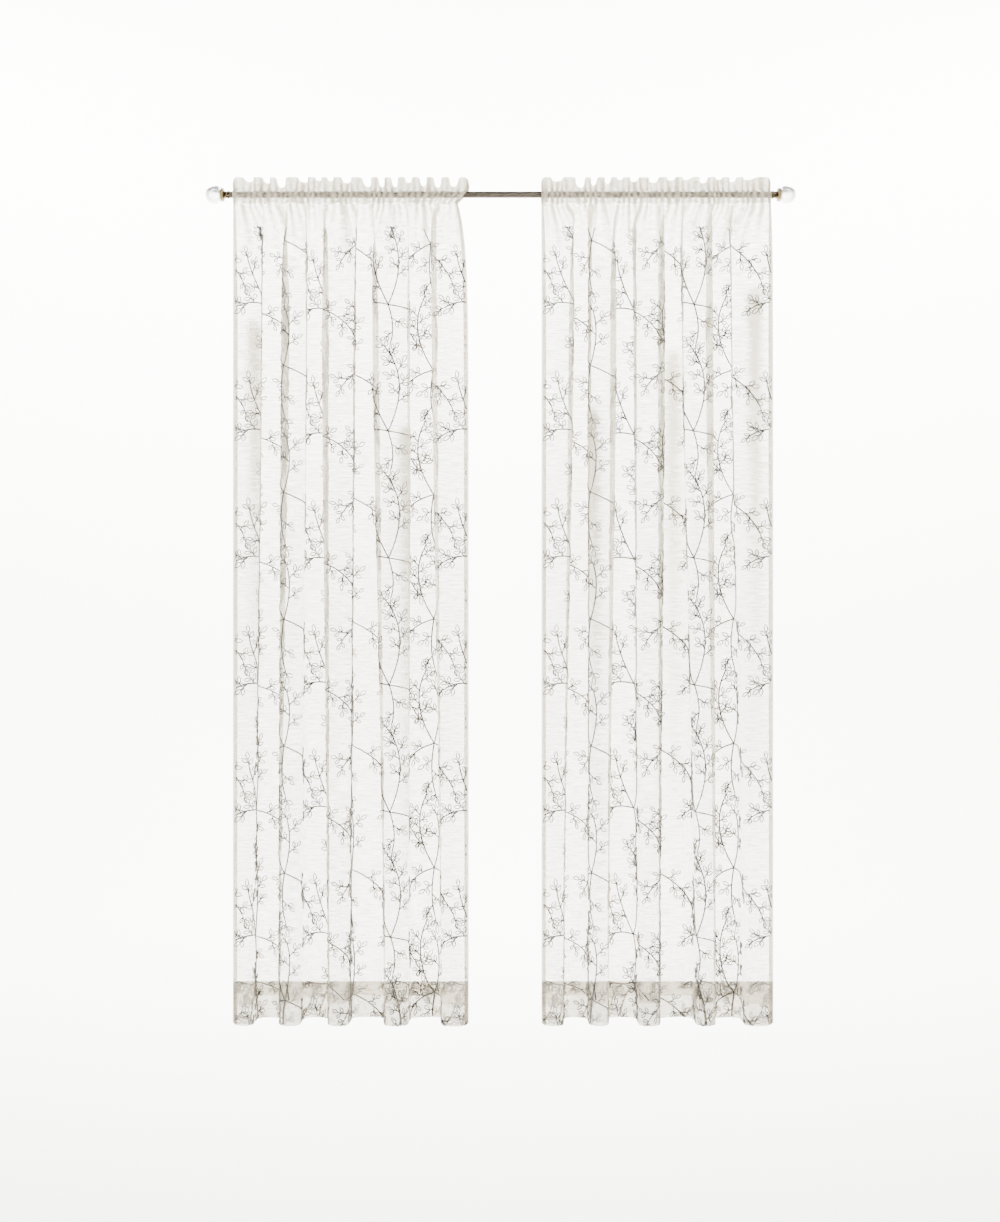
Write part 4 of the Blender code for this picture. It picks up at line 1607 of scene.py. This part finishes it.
class CURTAIN_OT_embroidery(bpy.types.Operator):
    """Embroiders leafy branches all over both panels"""

    bl_idname = "curtain.embroidery"
    bl_label = "Embroider the cloth"

    def execute(self, context):
        settings = context.scene.curtain_embroidery
        ruche_height = context.scene.curtain_cloth.ruche_height
        # The embroidery thread's colour carries painted shade: it is darkened to the look of thread
        # against the light
        material = thread_material(
            "embroidered_rayon_thread", settings.thread, settings.painted_strand_shade, EMBROIDERY_STRAND
        )
        tree = embroidery_tree()
        # The pattern reaches past its own corner, so it starts one repeat outside the cloth
        start = np.array([settings.repeat_across, settings.repeat_along])
        lines = [(line - start, radius) for line, radius in repeat_lines(settings)]
        for panel in PANELS:
            cloth = cloth_of(panel, ruche_height)
            top = cloth.marks["lower_seam"] - BARE_UNDER_POCKET
            values = {
                "Cloth": bpy.data.objects[f"cloth_{panel.side}"],
                "Repeat Across": settings.repeat_across,
                "Repeat Along": settings.repeat_along,
                "Columns": math.ceil(cloth.width / settings.repeat_across) + 2,
                "Rows": math.ceil(cloth.length / settings.repeat_along) + 2,
                "Lowest": (EMBROIDERY_MARGIN, EMBROIDERY_MARGIN, -1.0),
                "Highest": (cloth.width - EMBROIDERY_MARGIN, top, 1.0),
                "Thickness": settings.thickness,
                "Material": material,
            }
            source = lines_object(f"pattern_{panel.side}", lines)
            run_tree(f"embroidery_{panel.side}", source, tree, values, material)
        return {"FINISHED"}


class CURTAIN_OT_stitching(bpy.types.Operator):
    """Sews the pocket's two seams, the bottom hem and the side hems"""

    bl_idname = "curtain.stitching"
    bl_label = "Sew the seams"

    def execute(self, context):
        settings = context.scene.curtain_stitches
        ruche_height = context.scene.curtain_cloth.ruche_height
        material = thread_material(
            "spun_polyester_sewing_thread", settings.thread, settings.thread, settings.pitch
        )
        tree = stitch_tree()
        for panel in PANELS:
            values = {
                "Cloth": bpy.data.objects[f"cloth_{panel.side}"],
                "Pitch": settings.pitch,
                "Length": settings.length,
                "Thickness": settings.thickness,
                "Material": material,
            }
            lines = seam_lines(cloth_of(panel, ruche_height))
            source = lines_object(f"seams_{panel.side}", lines)
            run_tree(f"stitching_{panel.side}", source, tree, values, material)
        return {"FINISHED"}


class CURTAIN_OT_rod(bpy.types.Operator):
    """Makes the plated steel tube that carries both panels"""

    bl_idname = "curtain.rod"
    bl_label = "Make the rod"

    def execute(self, context):
        half = ROD_LENGTH / 2
        inner = ROD_RADIUS - ROD_WALL
        profile = [
            (-half, inner),
            (half, inner),
            (half, ROD_RADIUS - ROD_EDGE),
            (half - ROD_EDGE, ROD_RADIUS),
            (ROD_EDGE - half, ROD_RADIUS),
            (-half, ROD_RADIUS - ROD_EDGE),
        ]
        mesh = tube_mesh("rod_tube", profile, TURNED_SIDES)
        rod = new_piece("rod_tube", mesh, nickel_material(context.scene.curtain_hardware))
        rod.data.set_sharp_from_angle(angle=math.radians(30))
        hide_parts("rod")
        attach(rod, "root")
        return {"FINISHED"}


class CURTAIN_OT_finials(bpy.types.Operator):
    """Makes a turned bronze collar and a glass ball for each end of the rod"""

    bl_idname = "curtain.finials"
    bl_label = "Make the finials"

    def execute(self, context):
        settings = context.scene.curtain_hardware
        bronze = bronze_material(settings)
        glass = glass_material(settings)
        start = ROD_LENGTH / 2 + FIT_GAP
        collar = [(start + x, radius) for x, radius in COLLAR_PROFILE]
        seat_angle = math.asin(BALL_SEAT_RADIUS / BALL_RADIUS)
        seat_x = start + COLLAR_LENGTH + FIT_GAP
        centre = seat_x + BALL_RADIUS * math.cos(seat_angle)
        ball = [(seat_x, 0.0)]
        for angle in np.linspace(seat_angle, math.pi, BALL_RINGS):
            x = centre - BALL_RADIUS * math.cos(angle)
            ball.append((x, BALL_RADIUS * math.sin(angle)))
        for side in ("left", "right"):
            for kind, profile, material in (
                ("collar", collar, bronze),
                ("ball", ball, glass),
            ):
                mesh = turned_mesh(f"{kind}_{side}", profile, TURNED_SIDES)
                if side == "left":
                    mesh.transform(HALF_TURN)
                piece = new_piece(f"{kind}_{side}", mesh, material)
                piece.data.set_sharp_from_angle(angle=math.radians(40))
                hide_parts(f"finial_{kind}_{side}")
                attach(piece, "root")
        return {"FINISHED"}


class CURTAIN_OT_hang(bpy.types.Operator):
    """Hangs the finished panels: each stands for its solid and carries its sewing"""

    bl_idname = "curtain.hang"
    bl_label = "Hang the panels"

    def execute(self, context):
        ruche_height = context.scene.curtain_cloth.ruche_height
        for panel in PANELS:
            cloth = cloth_of(panel, ruche_height)
            piece = bpy.data.objects[f"cloth_{panel.side}"]
            sewn = [bpy.data.objects[f"{kind}_{panel.side}"] for kind in ("embroidery", "stitching")]
            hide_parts(f"panel_{panel.side}")
            for obj in (piece, *sewn):
                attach(obj, "root")
        return {"FINISHED"}


def floor_mesh(height, radius):
    """A round floor whose edge rises in a bend to a wall, faces up and inwards."""
    bend_start = radius - FLOOR_BEND
    profile = [(height, 0.0), (height, bend_start)]
    for angle in np.linspace(0.0, math.pi / 2, FLOOR_BEND_STEPS + 1)[1:]:
        rise = FLOOR_BEND * (1 - math.cos(angle))
        profile.append((height + rise, bend_start + FLOOR_BEND * math.sin(angle)))
    profile.append((height + FLOOR_RISE, radius))
    mesh = turned_mesh("floor", profile, FLOOR_SIDES, closed=False)
    mesh.transform(TURNED_UPRIGHT)
    return mesh


def add_even_world(strength):
    """White light of one strength from all around."""
    world = bpy.data.worlds.new("even_light")
    world.use_nodes = True
    background = world.node_tree.nodes["Background"]
    background.inputs["Color"].default_value = (1.0, 1.0, 1.0, 1.0)
    background.inputs["Strength"].default_value = strength
    bpy.context.scene.world = world


def add_area_light(light, power):
    """A large soft light that points at its target and isn't seen itself."""
    data = bpy.data.lights.new(light.name, "AREA")
    data.shape = "RECTANGLE"
    data.size, data.size_y = light.size
    data.energy = power
    data.color = light.colour
    obj = bpy.data.objects.new(light.name, data)
    obj.location = light.place
    direction = np.array(light.target) - np.array(light.place)
    yaw = math.atan2(direction[0], -direction[1])
    pitch = math.atan2(math.hypot(direction[0], direction[1]), -direction[2])
    obj.rotation_euler = (pitch, 0.0, yaw + math.pi)
    obj.visible_camera = False
    bpy.context.scene.collection.objects.link(obj)


def add_camera(settings):
    """A level camera in front of the curtain."""
    data = bpy.data.cameras.new("camera")
    data.lens = settings.lens
    data.sensor_width = 36.0
    camera = bpy.data.objects.new("camera", data)
    camera.location = (settings.camera_offset, -settings.camera_distance, settings.camera_height)
    camera.rotation_euler = (math.pi / 2, 0.0, 0.0)
    bpy.context.scene.collection.objects.link(camera)
    bpy.context.scene.camera = camera


class CURTAIN_OT_stage(bpy.types.Operator):
    """Makes the pale floor with its rising edge, the soft lights and the camera"""

    bl_idname = "curtain.stage"
    bl_label = "Make the stage"

    def execute(self, context):
        settings = context.scene.curtain_stage
        mesh = floor_mesh(settings.floor_height, settings.floor_radius)
        new_piece("floor", mesh, floor_material(settings))
        add_even_world(settings.sky_strength)
        for light in LIGHTS:
            add_area_light(light, getattr(settings, light.power))
        add_camera(settings)
        return {"FINISHED"}


class CURTAIN_PT_panel(bpy.types.Panel):
    """Lists the curtain's steps and its sizes and colours"""

    bl_label = "Curtain"
    bl_idname = "CURTAIN_PT_panel"
    bl_space_type = "VIEW_3D"
    bl_region_type = "UI"
    bl_category = "Curtain"

    def draw(self, context):
        for operator in OPERATORS:
            self.layout.operator(operator.bl_idname)
        for name, group in SETTINGS.items():
            box = self.layout.box()
            box.label(text=name.replace("curtain_", "").capitalize())
            for key in group.__annotations__:
                box.prop(getattr(context.scene, name), key)


SETTINGS = {
    "curtain_cloth": ClothSettings,
    "curtain_embroidery": EmbroiderySettings,
    "curtain_stitches": StitchSettings,
    "curtain_hardware": HardwareSettings,
    "curtain_stage": StageSettings,
}
OPERATORS = (
    CURTAIN_OT_stage,
    CURTAIN_OT_rod,
    CURTAIN_OT_finials,
    CURTAIN_OT_cloth,
    CURTAIN_OT_embroidery,
    CURTAIN_OT_stitching,
    CURTAIN_OT_hang,
)


def register():
    for group in SETTINGS.values():
        bpy.utils.register_class(group)
    for name, group in SETTINGS.items():
        setattr(bpy.types.Scene, name, PointerProperty(type=group))
    for operator in OPERATORS:
        bpy.utils.register_class(operator)
    bpy.utils.register_class(CURTAIN_PT_panel)


def unregister():
    bpy.utils.unregister_class(CURTAIN_PT_panel)
    for operator in reversed(OPERATORS):
        bpy.utils.unregister_class(operator)
    for name, group in SETTINGS.items():
        delattr(bpy.types.Scene, name)
        bpy.utils.unregister_class(group)


def main():
    register()
    bpy.ops.curtain.stage()
    bpy.ops.curtain.rod()
    bpy.ops.curtain.finials()
    bpy.ops.curtain.cloth()
    bpy.ops.curtain.embroidery()
    bpy.ops.curtain.stitching()
    bpy.ops.curtain.hang()


if __name__ == "__main__":
    main()
